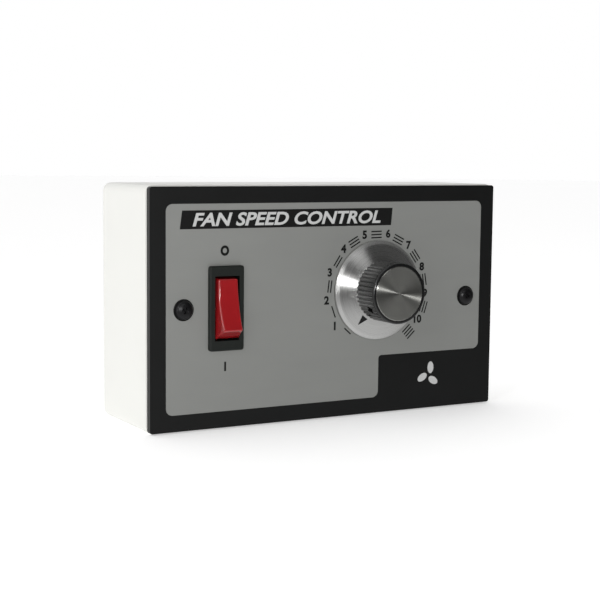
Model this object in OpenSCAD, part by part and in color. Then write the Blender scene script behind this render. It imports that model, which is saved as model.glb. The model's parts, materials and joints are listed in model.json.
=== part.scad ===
// Wall-mounted fan speed controller: a double-gang surface box with a metal front plate that carries
// an illuminated rocker switch, a skirted knob on a potentiometer, and the phase-control circuit board.
// Millimetres. +X right, +Z up, -Y out of the front. The origin is the middle of the box's back face.

/* [Front plate] */
// Width of the front plate
plate_w = 146; // [128:1:180]
// Height of the front plate
plate_h = 86; // [86:1:110]
// Thickness of the front plate
plate_t = 2.5; // [2.2:0.1:3]
// Radius of the plate's corners
plate_corner_r = 1; // [0.5:0.1:2]
// Distance from the plate's side edge to its fixing screw
screw_inset = 12.7; // [12:0.1:15]
// Radius of the fixing screw's thread
screw_r = 1.75; // [1.5:0.05:2.2]
// Radius of the fixing screw's head
screw_head_r = 3.4; // [3:0.1:4]
// Length of the fixing screw under its head
screw_len = 20; // [15:1:25]

/* [Box] */
// How far the box stands past the plate on each side
box_over = 0.5; // [0.2:0.1:1]
// Depth of the box
box_d = 42; // [40:0.5:60]
// Thickness of the box's walls
box_wall = 2.2; // [1.8:0.1:3]
// Radius of the box's four corners
box_corner_r = 3; // [2:0.5:6]
// Radius round the box's back edge
box_back_r = 3; // [2:0.5:4]
// Radius of the pillars that the plate screws into
pillar_r = 4.5; // [4:0.1:5]
// Radius of the brass inserts in the pillars
insert_r = 2.6; // [2.4:0.1:3]
// Length of the brass inserts
insert_len = 10; // [6:1:14]
// Distance across between the wall fixing slots
fixing_x = 88; // [70:1:92]
// Distance up between the wall fixing slots
fixing_z = 56; // [50:1:60]
// Half the width of a fixing slot
fixing_r = 2.25; // [2:0.05:2.75]
// Length of a fixing slot
fixing_slot = 9; // [6:0.5:10]
// Radius of the cable entry and of the knock-outs
entry_r = 10.25; // [8:0.25:10.25]
// How far the cable entry sits below the box's middle
entry_drop = 12; // [0:1:12]
// Wall left at a knock-out's groove
knockout_web = 0.8; // [0.5:0.1:1.2]

/* [Label] */
// Thickness of the silver label
label_t = 0.2; // [0.1:0.05:0.4]
// Margin from the plate's edge to the label
label_margin = 6; // [5:0.5:8]
// Width of the corner that the label leaves free
notch_w = 46.5; // [40:0.5:50]
// Height of the corner that the label leaves free
notch_h = 16; // [12:0.5:18]
// Radius of the label's corners
label_r = 2.5; // [1.5:0.1:3.5]

/* [Rocker switch] */
// Distance from the plate's left edge to the switch
switch_inset = 28.8; // [28.8:0.1:32]
// Width of the bezel beside the rocker
bezel_side = 2.1; // [1.7:0.1:3]
// Width of the bezel above and below the rocker
bezel_end = 3.6; // [3:0.1:5]
// How far the bezel stands out of the plate
bezel_t = 2; // [1.5:0.1:2.6]
// How far the bezel overlaps its cut-out
bezel_lap = 0.9; // [0.8:0.1:1.2]
// Width of the rocker
rocker_w = 9.2; // [7.6:0.1:11.2]
// Distance between the rocker's two ridges
rocker_face_h = 18.3; // [15:0.1:22]
// Distance from the rocker's pivot to its ridges
rocker_rise = 6.8; // [5.7:0.1:8.2]
// How much each flank of the rocker leans in towards its face
rocker_draft = 0.9; // [0.4:0.1:1]
// Depth of the hollow in the rocker's face
rocker_sag = 1.2; // [0.6:0.1:1.6]
// Tilt of the rocker to either side
rocker_tilt = 13.3; // [10:0.1:14]
// Depth of the rocker's pivot behind the plate's face
pivot_depth = 1.55; // [1.4:0.05:2.2]
// Radius of the rocker's trunnions
trunnion_r = 1.3; // [1:0.05:1.4]
// Thickness of the switch's floor
switch_floor = 3; // [2:0.1:4]
// Distance from the rocker's pivot to its plunger's tip
plunger_reach = 7.4; // [6.2:0.1:8.9]
// How far the contact blade turns for each degree of the rocker
blade_ratio = 0.35; // [0.25:0.01:0.4]

/* [Knob and potentiometer] */
// Distance from the plate's right edge to the knob's axis
knob_inset = 53.7; // [50:0.1:56]
// Height of the knob's axis above the plate's middle
knob_z = 3.9; // [0:0.1:5]
// Height of the knob above the plate's face
knob_h = 15.8; // [15.8:0.1:20]
// Radius of the knob's fluted body
knob_r = 11.3; // [11:0.1:13.5]
// Number of flutes round the knob
flutes = 40; // [24:1:48]
// Depth of a flute
flute_d = 0.5; // [0.3:0.05:0.7]
// Radius of the knob's skirt
skirt_r = 18.6; // [17:0.1:20]
// Height of the skirt's seat under the fluted body
skirt_h = 4.1; // [4:0.1:5]
// Angle of the set screw, clockwise from straight up
set_screw_angle = -124; // [-180:1:180]
// Radius of the shaft
shaft_r = 3; // [2.5:0.05:3.6]
// Radius of the potentiometer's threaded bushing
bushing_r = 5; // [4.8:0.1:5.2]
// Radius of the potentiometer's case
pot_r = 12; // [10:0.5:14]
// Depth of the potentiometer's case
pot_d = 11.5; // [11:0.5:14]

/* [Circuit board] */
// Thickness of the board
board_t = 1.6; // [1:0.1:2]
// Length of the pillars between plate and board
board_pillar_len = 18; // [15:0.5:20]
// Distance from the board's edges to its screws
board_inset = 4; // [4:0.5:5]
// Number of ways in the terminal block
ways = 4; // [3:1:4]
// Distance between the terminal block's ways
way_pitch = 7.5; // [7:0.1:7.6]

/* [Hidden] */

// Clearances
eps = 0.01;             // overshoot of a cut past the face that it opens
fit = 0.05;             // between a piece and the seat that holds it
run = 0.05;             // radial, between a shaft and its bore
play = 0.2;             // round a moving piece

// Planes along Y
y_front = -(box_d + plate_t);
y_label = y_front - label_t;
y_rear = -box_d;
y_board = y_rear + board_pillar_len;
y_parts = y_board + board_t;

// Box
box_w = plate_w + 2 * box_over;
box_h = plate_h + 2 * box_over;
screw_x = plate_w / 2 - screw_inset;
rib_t = 2;

// Switch
switch_x = -plate_w / 2 + switch_inset;
rocker_base = rocker_face_h / 2 + 1.85;    // half the rocker's height at its widest
opening_w = rocker_w + 2 * play;
opening_h = 2 * rocker_base + 1;
bezel_w = rocker_w + 2 * bezel_side;
bezel_h = opening_h + 2 * bezel_end;
cutout_w = bezel_w - 2 * bezel_lap + play;
cutout_h = bezel_h - 2 * bezel_lap;
body_w = cutout_w - play;
body_h = cutout_h - play;
pivot_y = y_front + pivot_depth;
rocker_base_rise = 1.6; // of its widest point above the pivot
rocker_wall = 1.2;
rocker_roof = 1.4;
hollow_half = rocker_face_h / 2 - 0.4;     // half the length of the rocker's hollow
boss_r = 2.2;
plunger_r = 1.45;
boss_end = -5.5;        // of the plunger's guide, along the rocker's own outward axis
shoulder = -3;          // of the plunger, under its spring
blade_tilt = blade_ratio * rocker_tilt;
blade_vee = 6;
blade_t = 0.5;
blade_w = 4;
blade_half = 8;
blade_knuckle_r = 0.4;    // the round back that the blade rocks on
blade_y = pivot_y + plunger_reach + 0.12;
contact_z = 6.5;
contact_r = 1.2;
contact_t = 0.5;
fixed_y = blade_y + blade_t + contact_t + 2 * fit
    + contact_z * (tan(blade_tilt) - tan(blade_vee));
floor_y = fixed_y + 3.9;
switch_back = floor_y + switch_floor;
tab_w = 4.8;
tab_t = 0.8;
tab_end = switch_back + 9;
tab_z = [9, 0, -9];

// Knob
knob_x = plate_w / 2 - knob_inset;
rim_t = 1.2;
rim_edge = 0.4;
cap_r = knob_r - 1.2;
cap_t = 0.7;
hub_r = 9;
hub_low = 1.2;
recess_r = 8.2;
recess_top = 5.4;
bush_r = 4.5 + shaft_r - 3;
bush_top = knob_h - 1.8;
set_screw_r = 1.5;
set_screw_h = bush_top - 3.5;
shaft_top = bush_top - 0.5;
bushing_out = 4.6;
nut_af = 2 * bushing_r + 3;
nut_t = 2.4;
washer_t = 0.7;
flange_t = 1.5;
wafer_t = 1.2;
lug_t = 0.4;
lug_w = 2.4;
lug_drop = 7;           // of the terminals below the case
lug_pitch = 5;
wafer_w = 14;
can_t = 0.5;

// Board
board_x0 = switch_x + bezel_w / 2 + 5.3;
board_x1 = screw_x - pillar_r - 2.8;
board_z = plate_h / 2 - 9;
board_hole_x = [board_x0 + board_inset, board_x1 - board_inset];
board_hole_z = board_z - board_inset;
board_screw_r = 1.25;
pillar_af = 5;
tapped_depth = 1.8;     // of a blind hole in the back of the plate

// Triac, on a pad on the back of the plate: its middle, and the foot of its metal tab
triac_x = board_x0 + 20;
triac_z = -10;
triac_w = 10.2;
triac_body_t = 4.5;
triac_body_low = 4.4;   // of its body below the tab's foot
triac_body_high = 4.8;  // of its body above the tab's foot
triac_tab_t = 1.3;
triac_tab_h = 11;
triac_hole = 8;         // of its screw above the tab's foot
triac_leg = [0.8, 0.5];
triac_leg_drop = 8;
triac_leg_pitch = 2.54;
m3_r = 1.5;
pad_t = 0.3;
pad_edge = 2;

// Choke
choke_x = board_x1 - 16;
choke_z = -board_z + 17;
core_r = [6.5, 12];
core_h = 9;
wire_d = 1;
turns = 20;

// Capacitors and resistors: length, height and width, and where they stand
line_cap = [26, 16.5, 9];
line_cap_x = board_x0 + 24;
line_cap_z = board_z - 9;
timing_cap = [13, 11, 5];
timing_cap_z = line_cap_z - 10;
resistor_x = board_x1 - 17;
resistor_z = board_z - 9;
resistor_pitch = 6;
resistor_len = 12;
resistor_r = 2;
resistor_rise = 2.6;
resistor_lead_r = 0.35;

// Trimmer
trimmer_x = board_x0 + 7;
trimmer_size = 10;
trimmer_h = 5;
trimmer_floor = 2;
rotor_r = 3;

// Fuse, 5 by 20 mm
fuse_x = board_x0 + 23;
fuse_z = -board_z + 22;
fuse_r = 2.6;
fuse_len = 20;
fuse_cap = 5;
fuse_rise = 5;
clip_w = 4;
clip_leaf = 0.4;

// Terminal block, with its low left corner
block_x0 = board_x0 + 8.5;
block_z0 = -board_z + 0.5;
block_d = 11;
block_h = 13;
cage_w = 5.6;
cage_low = 2;
cage_high = 9;
cage_d = 8.5;
cage_screw_r = 1.5;
cage_screw_z = 4.5;

// Earthing: the stud is on the plate and the block is on the box's back
earth_x = plate_w / 2 - 15;
earth_z = plate_h / 2 - 15;
stud_r = 2;
stud_len = 7;
tag_t = 0.6;
tag_barrel = [1.6, 11, 5.4];
earth_size = [9, 8, 10];
earth_screw_r = 1.75;
earth_screw_z = earth_z - 4;
earth_low = [earth_x - earth_size[0] / 2, -box_wall - 1 - earth_size[1], earth_z - 9];
earth_high = earth_low + earth_size;
earth_mid_y = (earth_low[1] + earth_high[1]) / 2;
earth_entry_r = 1.7;

// ---------- drawing helpers ----------

// Extrudes a drawing of the XZ plane from depth y0 to depth y1.
module slab(y0, y1) {
    translate([0, y1, 0]) rotate([90, 0, 0]) linear_extrude(y1 - y0) children();
}

// A round bar along Y.
module rod(x, z, y0, y1, r) {
    translate([x, y1, z]) rotate([90, 0, 0]) cylinder(h = y1 - y0, r = r, $fn = 48);
}

// A round bar along X, from x0 to x1.
module rod_x(x0, x1, y, z, r) {
    translate([x0, y, z]) rotate([0, 90, 0]) cylinder(h = x1 - x0, r = r, $fn = 48);
}

// A round bar along Z, from z0 to z1.
module rod_z(x, y, z0, z1, r) {
    translate([x, y, z0]) cylinder(h = z1 - z0, r = r, $fn = 48);
}

// A block between two corners.
module block(low, high) {
    translate(low) cube(high - low);
}

// A flat rectangle with round corners, about its middle.
module rounded_rect(w, h, r) {
    square([w - 2 * r, h], center = true);
    square([w, h - 2 * r], center = true);
    for (sx = [-1, 1], sz = [-1, 1])
        translate([sx * (w / 2 - r), sz * (h / 2 - r)]) circle(r = r, $fn = 48);
}

// Both the left and the right of something.
module each_side() {
    for (s = [-1, 1]) translate([s * screw_x, 0, 0]) children();
}

// Places something on the knob's axis: its own +Z runs out of the plate, from the plate's face.
module on_knob() {
    translate([knob_x, y_front, knob_z]) rotate([90, 0, 0]) children();
}

// Places something on the rocker: the pivot is its origin and its own -Y points out of the face.
module on_rocker() {
    translate([switch_x, pivot_y, 0]) rotate([-rocker_tilt, 0, 0]) children();
}

// A bar along the rocker's outward axis, from w0 to w1.
module rocker_rod(w0, w1, r) {
    translate([0, -w0, 0]) rotate([90, 0, 0]) cylinder(h = w1 - w0, r = r, $fn = 40);
}

// Extrudes a drawing whose first axis is Z and whose second is -Y, to width w about X = 0.
module side_drawing(w) {
    rotate([0, 0, 180]) rotate([0, -90, 0]) linear_extrude(w, center = true) children();
}

function unit(v) = v / norm(v);

function bezier(a, b, c, d, t) = pow(1 - t, 3) * a + 3 * t * pow(1 - t, 2) * b
    + 3 * t * t * (1 - t) * c + pow(t, 3) * d;

// The tangent at each point of a path.
function tangents(p) = [for (i = [0 : len(p) - 1])
    unit(p[min(i + 1, len(p) - 1)] - p[max(i - 1, 0)])];

// A tube of radius r along a path. The path is never parallel to ref.
module tube(path, r, ref, sides = 8) {
    n = len(path);
    ways_on = tangents(path);
    rings = [for (i = [0 : n - 1]) let (
        u = unit(cross(ref, ways_on[i])),
        v = cross(ways_on[i], u)
    ) for (k = [0 : sides - 1]) path[i] + r * (cos(360 * k / sides) * u + sin(360 * k / sides) * v)];
    walls = [for (i = [0 : n - 2], k = [0 : sides - 1], half = [0, 1]) let (
        a = i * sides + k,
        b = i * sides + (k + 1) % sides
    ) half == 0 ? [a, a + sides, b + sides] : [a, b + sides, b]];
    ends = [[for (k = [0 : sides - 1]) k], [for (k = [sides - 1 : -1 : 0]) (n - 1) * sides + k]];
    polyhedron(rings, concat(walls, ends), convexity = 6);
}

// A wire from one point to another, leaving each along its own direction, with a short straight end.
module wire(from, from_dir, to, to_dir, r, ref) {
    steps = 14;
    start = from + r * unit(from_dir);
    end = to + r * unit(to_dir);
    bend = [for (i = [0 : steps]) bezier(start, start + from_dir, end + to_dir, end, i / steps)];
    tube(concat([from], bend, [to]), r, ref);
}

// ---------- box ----------

// The box's outline seen along one side, with its two back corners round.
module back_rounded(w) {
    translate([-w / 2, -box_d]) square([w, box_d - box_back_r]);
    translate([-w / 2 + box_back_r, -box_d]) square([w - 2 * box_back_r, box_d]);
    for (s = [-1, 1]) translate([s * (w / 2 - box_back_r), -box_back_r]) circle(r = box_back_r, $fn = 48);
}

module box_outer() {
    intersection() {
        slab(-box_d, 0) rounded_rect(box_w, box_h, box_corner_r);
        translate([0, 0, -box_h / 2]) linear_extrude(box_h) back_rounded(box_w);
        rotate([0, 90, 0]) translate([0, 0, -box_w / 2]) linear_extrude(box_w) back_rounded(box_h);
    }
}

module box_cavity() {
    slab(-box_d - eps, -box_wall) rounded_rect(box_w - 2 * box_wall, box_h - 2 * box_wall,
        max(box_corner_r - box_wall, 0.5));
}

// The ring groove of a knock-out in a wall, cut along +Z from z = 0.
module knockout_groove() {
    groove = box_wall - knockout_web;
    difference() {
        translate([0, 0, -eps]) cylinder(h = groove + eps, r = entry_r, $fn = 48);
        translate([0, 0, -2 * eps]) cylinder(h = groove + 3 * eps, r = entry_r - 1, $fn = 48);
    }
}

module knockout_grooves() {
    inner_x = box_w / 2 - box_wall;
    inner_z = box_h / 2 - box_wall;
    for (s = [-1, 1]) {
        for (x = [switch_x, -switch_x]) translate([x, -box_d / 2, s * inner_z])
            rotate([s > 0 ? 0 : 180, 0, 0]) knockout_groove();
        translate([s * inner_x, -box_d / 2, -box_h / 4]) rotate([0, s * 90, 0]) knockout_groove();
    }
}

module wall_box() color("whitesmoke") {
    difference() {
        union() {
            difference() {
                box_outer();
                box_cavity();
            }
            each_side() rod(0, 0, -box_d, -box_wall / 2, pillar_r);
            for (s = [-1, 1]) block(
                [s > 0 ? screw_x : -box_w / 2 + box_wall / 2, -box_d + 2, -rib_t / 2],
                [s > 0 ? box_w / 2 - box_wall / 2 : -screw_x, -box_wall / 2, rib_t / 2]);
            rod(earth_x, earth_screw_z, earth_high[1], -box_wall / 2, 3.5);
        }
        each_side() {
            rod(0, 0, -box_d - eps, -box_d + insert_len, insert_r);
            rod(0, 0, -box_d - eps, -box_d + screw_len + 4, screw_r + fit);
        }
        for (sx = [-1, 1], sz = [-1, 1]) translate([sx * fixing_x / 2, 0, sz * fixing_z / 2]) {
            slab(-box_wall - eps, eps) square([fixing_slot - 2 * fixing_r, 2 * fixing_r], center = true);
            for (s = [-1, 1]) rod(s * (fixing_slot / 2 - fixing_r), 0, -box_wall - eps, eps, fixing_r);
        }
        rod(switch_x, -entry_drop, -box_wall - eps, eps, entry_r);
        knockout_grooves();
    }
}

module box_inserts() color("goldenrod") {
    each_side() difference() {
        rod(0, 0, -box_d, -box_d + insert_len, insert_r - fit);
        rod(0, 0, -box_d - eps, -box_d + insert_len + eps, screw_r + fit);
    }
}

// ---------- front ----------

// The cut for the switch through a sheet from depth y0 to depth y1.
module switch_cutout(y0, y1) {
    translate([switch_x, 0, 0]) slab(y0 - eps, y1 + eps) square([cutout_w, cutout_h], center = true);
}

module front_plate() color([0.07, 0.07, 0.07]) {
    difference() {
        slab(y_front, y_rear) rounded_rect(plate_w, plate_h, plate_corner_r);
        each_side() rod(0, 0, y_front - eps, y_rear + eps, screw_r + 0.3);
        switch_cutout(y_front, y_rear);
        rod(knob_x, knob_z, y_front - eps, y_rear + eps, bushing_r + 2 * fit);
        for (x = board_hole_x, s = [-1, 1])
            rod(x, s * board_hole_z, y_rear - tapped_depth, y_rear + eps, m3_r + fit);
        rod(triac_x, triac_z + triac_hole, y_rear - tapped_depth, y_rear + eps, m3_r);
        rod(earth_x, earth_z, y_rear - tapped_depth, y_rear + eps, stud_r + fit);
    }
}

// The silver panel's outline: a round-cornered sheet with its lower right corner left free.
module label_outline() {
    w = plate_w - 2 * label_margin;
    h = plate_h - 2 * label_margin;
    fillet = label_r / 2;
    translate([-notch_w / 2, 0]) rounded_rect(w - notch_w, h, label_r);
    translate([0, notch_h / 2]) rounded_rect(w, h - notch_h, label_r);
    translate([w / 2 - notch_w, -h / 2 + notch_h - fillet]) difference() {
        translate([-fillet, 0]) square(2 * fillet);
        translate([fillet, 0]) circle(r = fillet, $fn = 32);
        translate([0, fillet]) square(2 * fillet);
    }
}

module face_label() color("silver") {
    difference() {
        slab(y_label, y_front) label_outline();
        each_side() rod(0, 0, y_label - eps, y_front + eps, screw_head_r + 0.5);
        switch_cutout(y_label, y_front);
        rod(knob_x, knob_z, y_label - eps, y_front + eps, hub_r);
    }
}

// A pan head on its own +Z, with a cross recess.
module cross_pan_head(r, h) {
    difference() {
        intersection() {
            cylinder(h = h, r = r, $fn = 48);
            translate([0, 0, h - 1.6 * r]) sphere(r = 1.6 * r, $fn = 64);
        }
        for (a = [0, 90]) rotate([0, 0, a]) translate([-r * 0.55, -r * 0.12, h - r * 0.4])
            cube([r * 1.1, r * 0.24, r]);
    }
}

module plate_screws() color([0.08, 0.08, 0.08]) {
    each_side() translate([0, y_front, 0]) rotate([90, 0, 0]) {
        cross_pan_head(screw_head_r, 2);
        translate([0, 0, -screw_len]) cylinder(h = screw_len + eps, r = screw_r, $fn = 40);
    }
}

// ---------- rocker switch ----------

module switch_housing() color([0.12, 0.13, 0.12]) {
    translate([switch_x, 0, 0]) difference() {
        union() {
            slab(y_front - bezel_t, y_label) rounded_rect(bezel_w, bezel_h, 0.8);
            slab(y_label, switch_back) square([body_w, body_h], center = true);
            for (s = [-1, 1]) translate([0, 0, s * body_h / 2]) rotate([0, 90, 0])
                linear_extrude(5, center = true)
                polygon([[0, y_rear + play], [-s * 0.9, y_rear + play + 0.3], [0, y_rear + play + 4]]);
        }
        slab(y_front - bezel_t - eps, floor_y) square([opening_w, opening_h], center = true);
        rod_x(-body_w / 2 - eps, body_w / 2 + eps, pivot_y, 0, trunnion_r + run);
        for (z = tab_z) translate([0, 0, z]) slab(floor_y - eps, switch_back + eps)
            square([tab_w + 2 * fit, tab_t + 2 * fit], center = true);
    }
}

// The rocker seen from its side, drawn as height along it and rise above its pivot.
module rocker_outline() {
    a = rocker_face_h / 2;
    bend = (a * a + rocker_sag * rocker_sag) / (2 * rocker_sag);
    steps = 12;
    face = [for (i = [0 : steps]) let (u = a - 2 * a * i / steps)
        [u, rocker_rise + bend - rocker_sag - sqrt(bend * bend - u * u)]];
    polygon(concat(
        [[rocker_base - 2, -2.2], [rocker_base, 0], [rocker_base, rocker_base_rise]],
        face,
        [[-rocker_base, rocker_base_rise], [-rocker_base, 0], [2 - rocker_base, -2.2]]));
}

module rocker() color([0.7, 0.05, 0.06]) {
    roof_w = rocker_rise - rocker_sag - rocker_roof;
    on_rocker() difference() {
        union() {
            difference() {
                side_drawing(rocker_w) rocker_outline();
                side_drawing(rocker_w - 2 * rocker_wall) translate([-hollow_half, -3])
                    square([2 * hollow_half, 3 + roof_w]);
                for (s = [-1, 1]) linear_extrude(2 * rocker_base + 2, center = true)
                    polygon([[s * rocker_w / 2, -rocker_base_rise],
                        [s * (rocker_w / 2 - rocker_draft), -rocker_rise],
                        [s * (rocker_w / 2 - rocker_draft), -rocker_rise - 1],
                        [s * (rocker_w / 2 + 1), -rocker_rise - 1],
                        [s * (rocker_w / 2 + 1), -rocker_base_rise]]);
            }
            rocker_rod(boss_end, roof_w + 0.3, boss_r);
            for (s = [-1, 1]) rod_x(s > 0 ? rocker_w / 2 - 0.4 : -body_w / 2 + 0.1,
                s > 0 ? body_w / 2 - 0.1 : -rocker_w / 2 + 0.4, 0, 0, trunnion_r);
        }
        rocker_rod(boss_end - eps, roof_w, plunger_r + 2 * run);
    }
}

module rocker_plunger() color("ivory") {
    on_rocker() {
        translate([0, plunger_reach - plunger_r, 0]) sphere(r = plunger_r, $fn = 40);
        rocker_rod(plunger_r - plunger_reach, shoulder, plunger_r);
        rocker_rod(shoulder, shoulder + 2.5, 0.6);
    }
}

module plunger_spring() color("gainsboro") {
    roof_w = rocker_rise - rocker_sag - rocker_roof;
    wire_r = 0.18;
    low = shoulder + wire_r + fit;
    high = roof_w - wire_r - fit;
    coil_r = plunger_r - wire_r - run;
    coils = 5;
    steps = 10;
    on_rocker() rotate([90, 0, 0]) tube([for (i = [0 : coils * steps]) let (a = 360 * i / steps)
        [coil_r * cos(a), coil_r * sin(a), low + (high - low) * i / (coils * steps)]],
        wire_r, [0, 0, 1], 6);
}

module contact_blade() color("goldenrod") {
    dip = blade_half * tan(blade_vee);
    translate([switch_x, blade_y + blade_t, 0]) rotate([blade_tilt, 0, 0]) {
        side_drawing(blade_w) polygon([[-blade_half, dip], [0, 0], [blade_half, dip],
            [blade_half, dip + blade_t], [0, blade_t], [-blade_half, dip + blade_t]]);
        rod_x(-blade_w / 2, blade_w / 2, 0, 0, blade_knuckle_r);
        translate([0, -contact_z * tan(blade_vee), contact_z]) rod(0, 0, -0.2, contact_t, contact_r);
    }
}

module switch_terminals() color("silver") {
    translate([switch_x, 0, 0]) difference() {
        union() {
            for (i = [0 : 2]) {
                top = [fixed_y + 0.4, blade_y + blade_t + blade_knuckle_r + fit, floor_y - 2][i];
                block([-tab_w / 2, top, tab_z[i] - tab_t / 2], [tab_w / 2, tab_end, tab_z[i] + tab_t / 2]);
            }
            block([-tab_w / 2, fixed_y + 0.4, contact_z - 1.5], [tab_w / 2, fixed_y + 1.2, tab_z[0]]);
            rod(0, contact_z, fixed_y, fixed_y + 0.6, contact_r);
        }
        for (z = tab_z) rod_z(0, tab_end - 3, z - 1, z + 1, 0.8);
    }
}

module neon_lamp() color([1, 0.8, 0.7]) {
    on_rocker() {
        rod_z(0, -0.4, 0.55 - hollow_half, -3.4, 1.2);
        translate([0, -0.4, -3.4]) sphere(r = 1.2, $fn = 32);
    }
}

// ---------- knob ----------

function flute_radius(a) = knob_r - flute_d * (1 - cos(flutes * a)) / 2;

// A radial hole or pin at the set screw's height and angle.
module set_screw_bar(r0, r1, r) {
    rotate([0, 0, 90 - set_screw_angle]) translate([r0, 0, set_screw_h]) rotate([0, 90, 0])
        cylinder(h = r1 - r0, r = r, $fn = 32);
}

module knob_body() color([0.1, 0.1, 0.1]) {
    points_each = 6;
    on_knob() difference() {
        union() {
            translate([0, 0, skirt_h]) linear_extrude(knob_h - rim_t - skirt_h)
                polygon([for (i = [0 : flutes * points_each - 1]) let (a = 360 * i / (flutes * points_each))
                    flute_radius(a) * [cos(a), sin(a)]]);
            translate([0, 0, knob_h - rim_t]) rotate_extrude($fn = 96)
                polygon([[0, -eps], [knob_r, -eps], [knob_r, rim_t - rim_edge],
                    [knob_r - rim_edge, rim_t], [0, rim_t]]);
            translate([0, 0, hub_low]) cylinder(h = skirt_h - hub_low + eps, r = hub_r, $fn = 64);
        }
        translate([0, 0, knob_h - cap_t]) cylinder(h = 1, r = cap_r + fit, $fn = 96);
        translate([0, 0, hub_low - eps]) cylinder(h = recess_top - hub_low, r = recess_r, $fn = 64);
        translate([0, 0, recess_top - 2 * eps])
            cylinder(h = bush_top - recess_top, r = bush_r + fit, $fn = 48);
        set_screw_bar(bush_r - 1, knob_r + 1, set_screw_r + fit);
    }
}

module knob_skirt() color("silver") {
    rim_w = 1.2;
    sheet = 0.7;
    on_knob() rotate_extrude($fn = 128) polygon([
        [hub_r + fit, skirt_h], [knob_r + 0.3, skirt_h], [skirt_r - rim_w, 2.1], [skirt_r, 1.1],
        [skirt_r, 0.6], [skirt_r - sheet, 0.6], [skirt_r - rim_w - 0.2, 2.1 - sheet],
        [knob_r, skirt_h - sheet], [hub_r + fit, skirt_h - sheet]]);
}

module knob_cap() color("gainsboro") {
    on_knob() translate([0, 0, knob_h - cap_t]) rotate_extrude($fn = 96)
        polygon([[0, 0], [cap_r, 0], [cap_r, cap_t - 0.25], [cap_r - 0.25, cap_t], [0, cap_t]]);
}

module knob_bush() color("goldenrod") {
    on_knob() difference() {
        translate([0, 0, recess_top]) cylinder(h = bush_top - recess_top - fit, r = bush_r, $fn = 48);
        translate([0, 0, recess_top - 1]) cylinder(h = bush_top, r = shaft_r + fit / 2, $fn = 48);
        set_screw_bar(0, bush_r + 1, set_screw_r + fit);
    }
}

module knob_set_screw() color("dimgray") {
    len = 5.5;
    slot_w = 0.5;
    on_knob() difference() {
        set_screw_bar(shaft_r + fit, shaft_r + len, set_screw_r);
        rotate([0, 0, 90 - set_screw_angle])
            translate([shaft_r + len - 1, -slot_w / 2, set_screw_h - 2]) cube([2, slot_w, 4]);
    }
}

// ---------- potentiometer ----------

// Height along the knob's axis of a plane at depth y.
function knob_height(y) = y_front - y;

module pot_shaft() color("silver") {
    on_knob() difference() {
        translate([0, 0, knob_height(y_rear + pot_d - 3.5)])
            cylinder(h = shaft_top - knob_height(y_rear + pot_d - 3.5), r = shaft_r, $fn = 48);
        translate([-0.5, -shaft_r - 1, shaft_top - 1.5]) cube([1, 2 * shaft_r + 2, 2]);
    }
}

module pot_wiper() color("peru") {
    base = y_rear + flange_t + wafer_t + lug_t + 0.5;
    translate([knob_x, 0, knob_z]) difference() {
        union() {
            rod(0, 0, base + 0.4, base + 2.2, pot_r * 0.6);
            block([-1, base, pot_r * 0.45], [1, base + 0.4 + eps, pot_r * 0.82]);
        }
        rod(0, 0, base - 1, base + 3, shaft_r + fit / 2);
    }
}

module pot_bushing() color("lightgray") {
    difference() {
        union() {
            rod(knob_x, knob_z, y_front - bushing_out, y_rear + eps, bushing_r);
            rod(knob_x, knob_z, y_rear, y_rear + flange_t, pot_r);
        }
        rod(knob_x, knob_z, y_front - bushing_out - 1, y_rear + flange_t + 1, shaft_r + run);
    }
}

module pot_nut() color("silver") {
    on_knob() translate([0, 0, washer_t]) difference() {
        cylinder(h = nut_t, r = nut_af / 2 / cos(30), $fn = 6);
        translate([0, 0, -1]) cylinder(h = nut_t + 2, r = bushing_r + fit, $fn = 48);
    }
}

module pot_washer() color("gainsboro") {
    on_knob() difference() {
        cylinder(h = washer_t, r = nut_af / 2 + 1, $fn = 48);
        translate([0, 0, -1]) cylinder(h = washer_t + 2, r = bushing_r + fit, $fn = 48);
    }
}

module pot_wafer() color("saddlebrown") {
    low = y_rear + flange_t;
    difference() {
        union() {
            rod(knob_x, knob_z, low, low + wafer_t, pot_r - can_t - fit);
            block([knob_x - wafer_w / 2, low, knob_z - pot_r - 3],
                [knob_x + wafer_w / 2, low + wafer_t, knob_z - pot_r / 2]);
        }
        rod(knob_x, knob_z, low - 1, low + wafer_t + 1, shaft_r + play);
    }
}

module pot_terminals() color("gold") {
    low = y_rear + flange_t + wafer_t;
    for (i = [-1 : 1]) translate([knob_x + lug_pitch * i, low, knob_z - pot_r]) difference() {
        block([-lug_w / 2, 0, -lug_drop], [lug_w / 2, lug_t, 3]);
        rod(0, 2 - lug_drop, -1, 1, 0.7);
    }
}

module pot_case() color("darkgray") {
    low = y_rear + flange_t;
    high = y_rear + pot_d;
    difference() {
        rod(knob_x, knob_z, low, high, pot_r);
        rod(knob_x, knob_z, low - 1, high - can_t, pot_r - can_t);
        block([knob_x - wafer_w / 2 - fit, low - 1, knob_z - pot_r - 1],
            [knob_x + wafer_w / 2 + fit, low + wafer_t + lug_t + 0.3, knob_z - pot_r / 2]);
    }
}

// ---------- circuit board ----------

// Something at each of the board's four screws.
module at_board_screws() {
    for (x = board_hole_x, s = [-1, 1]) translate([x, 0, s * board_hole_z]) children();
}

module circuit_board() color("darkgreen") {
    difference() {
        block([board_x0, y_board, -board_z], [board_x1, y_parts, board_z]);
        at_board_screws() rod(0, 0, y_board - 1, y_parts + 1, board_screw_r + 0.35);
    }
}

module board_pillars() color("gold") {
    thread_len = 6.5;
    at_board_screws() difference() {
        union() {
            slab(y_rear, y_board) circle(r = pillar_af / 2 / cos(30), $fn = 6);
            rod(0, 0, y_rear - tapped_depth + fit, y_rear + eps, m3_r);
        }
        rod(0, 0, y_board - thread_len, y_board + 1, board_screw_r + fit);
    }
}

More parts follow.
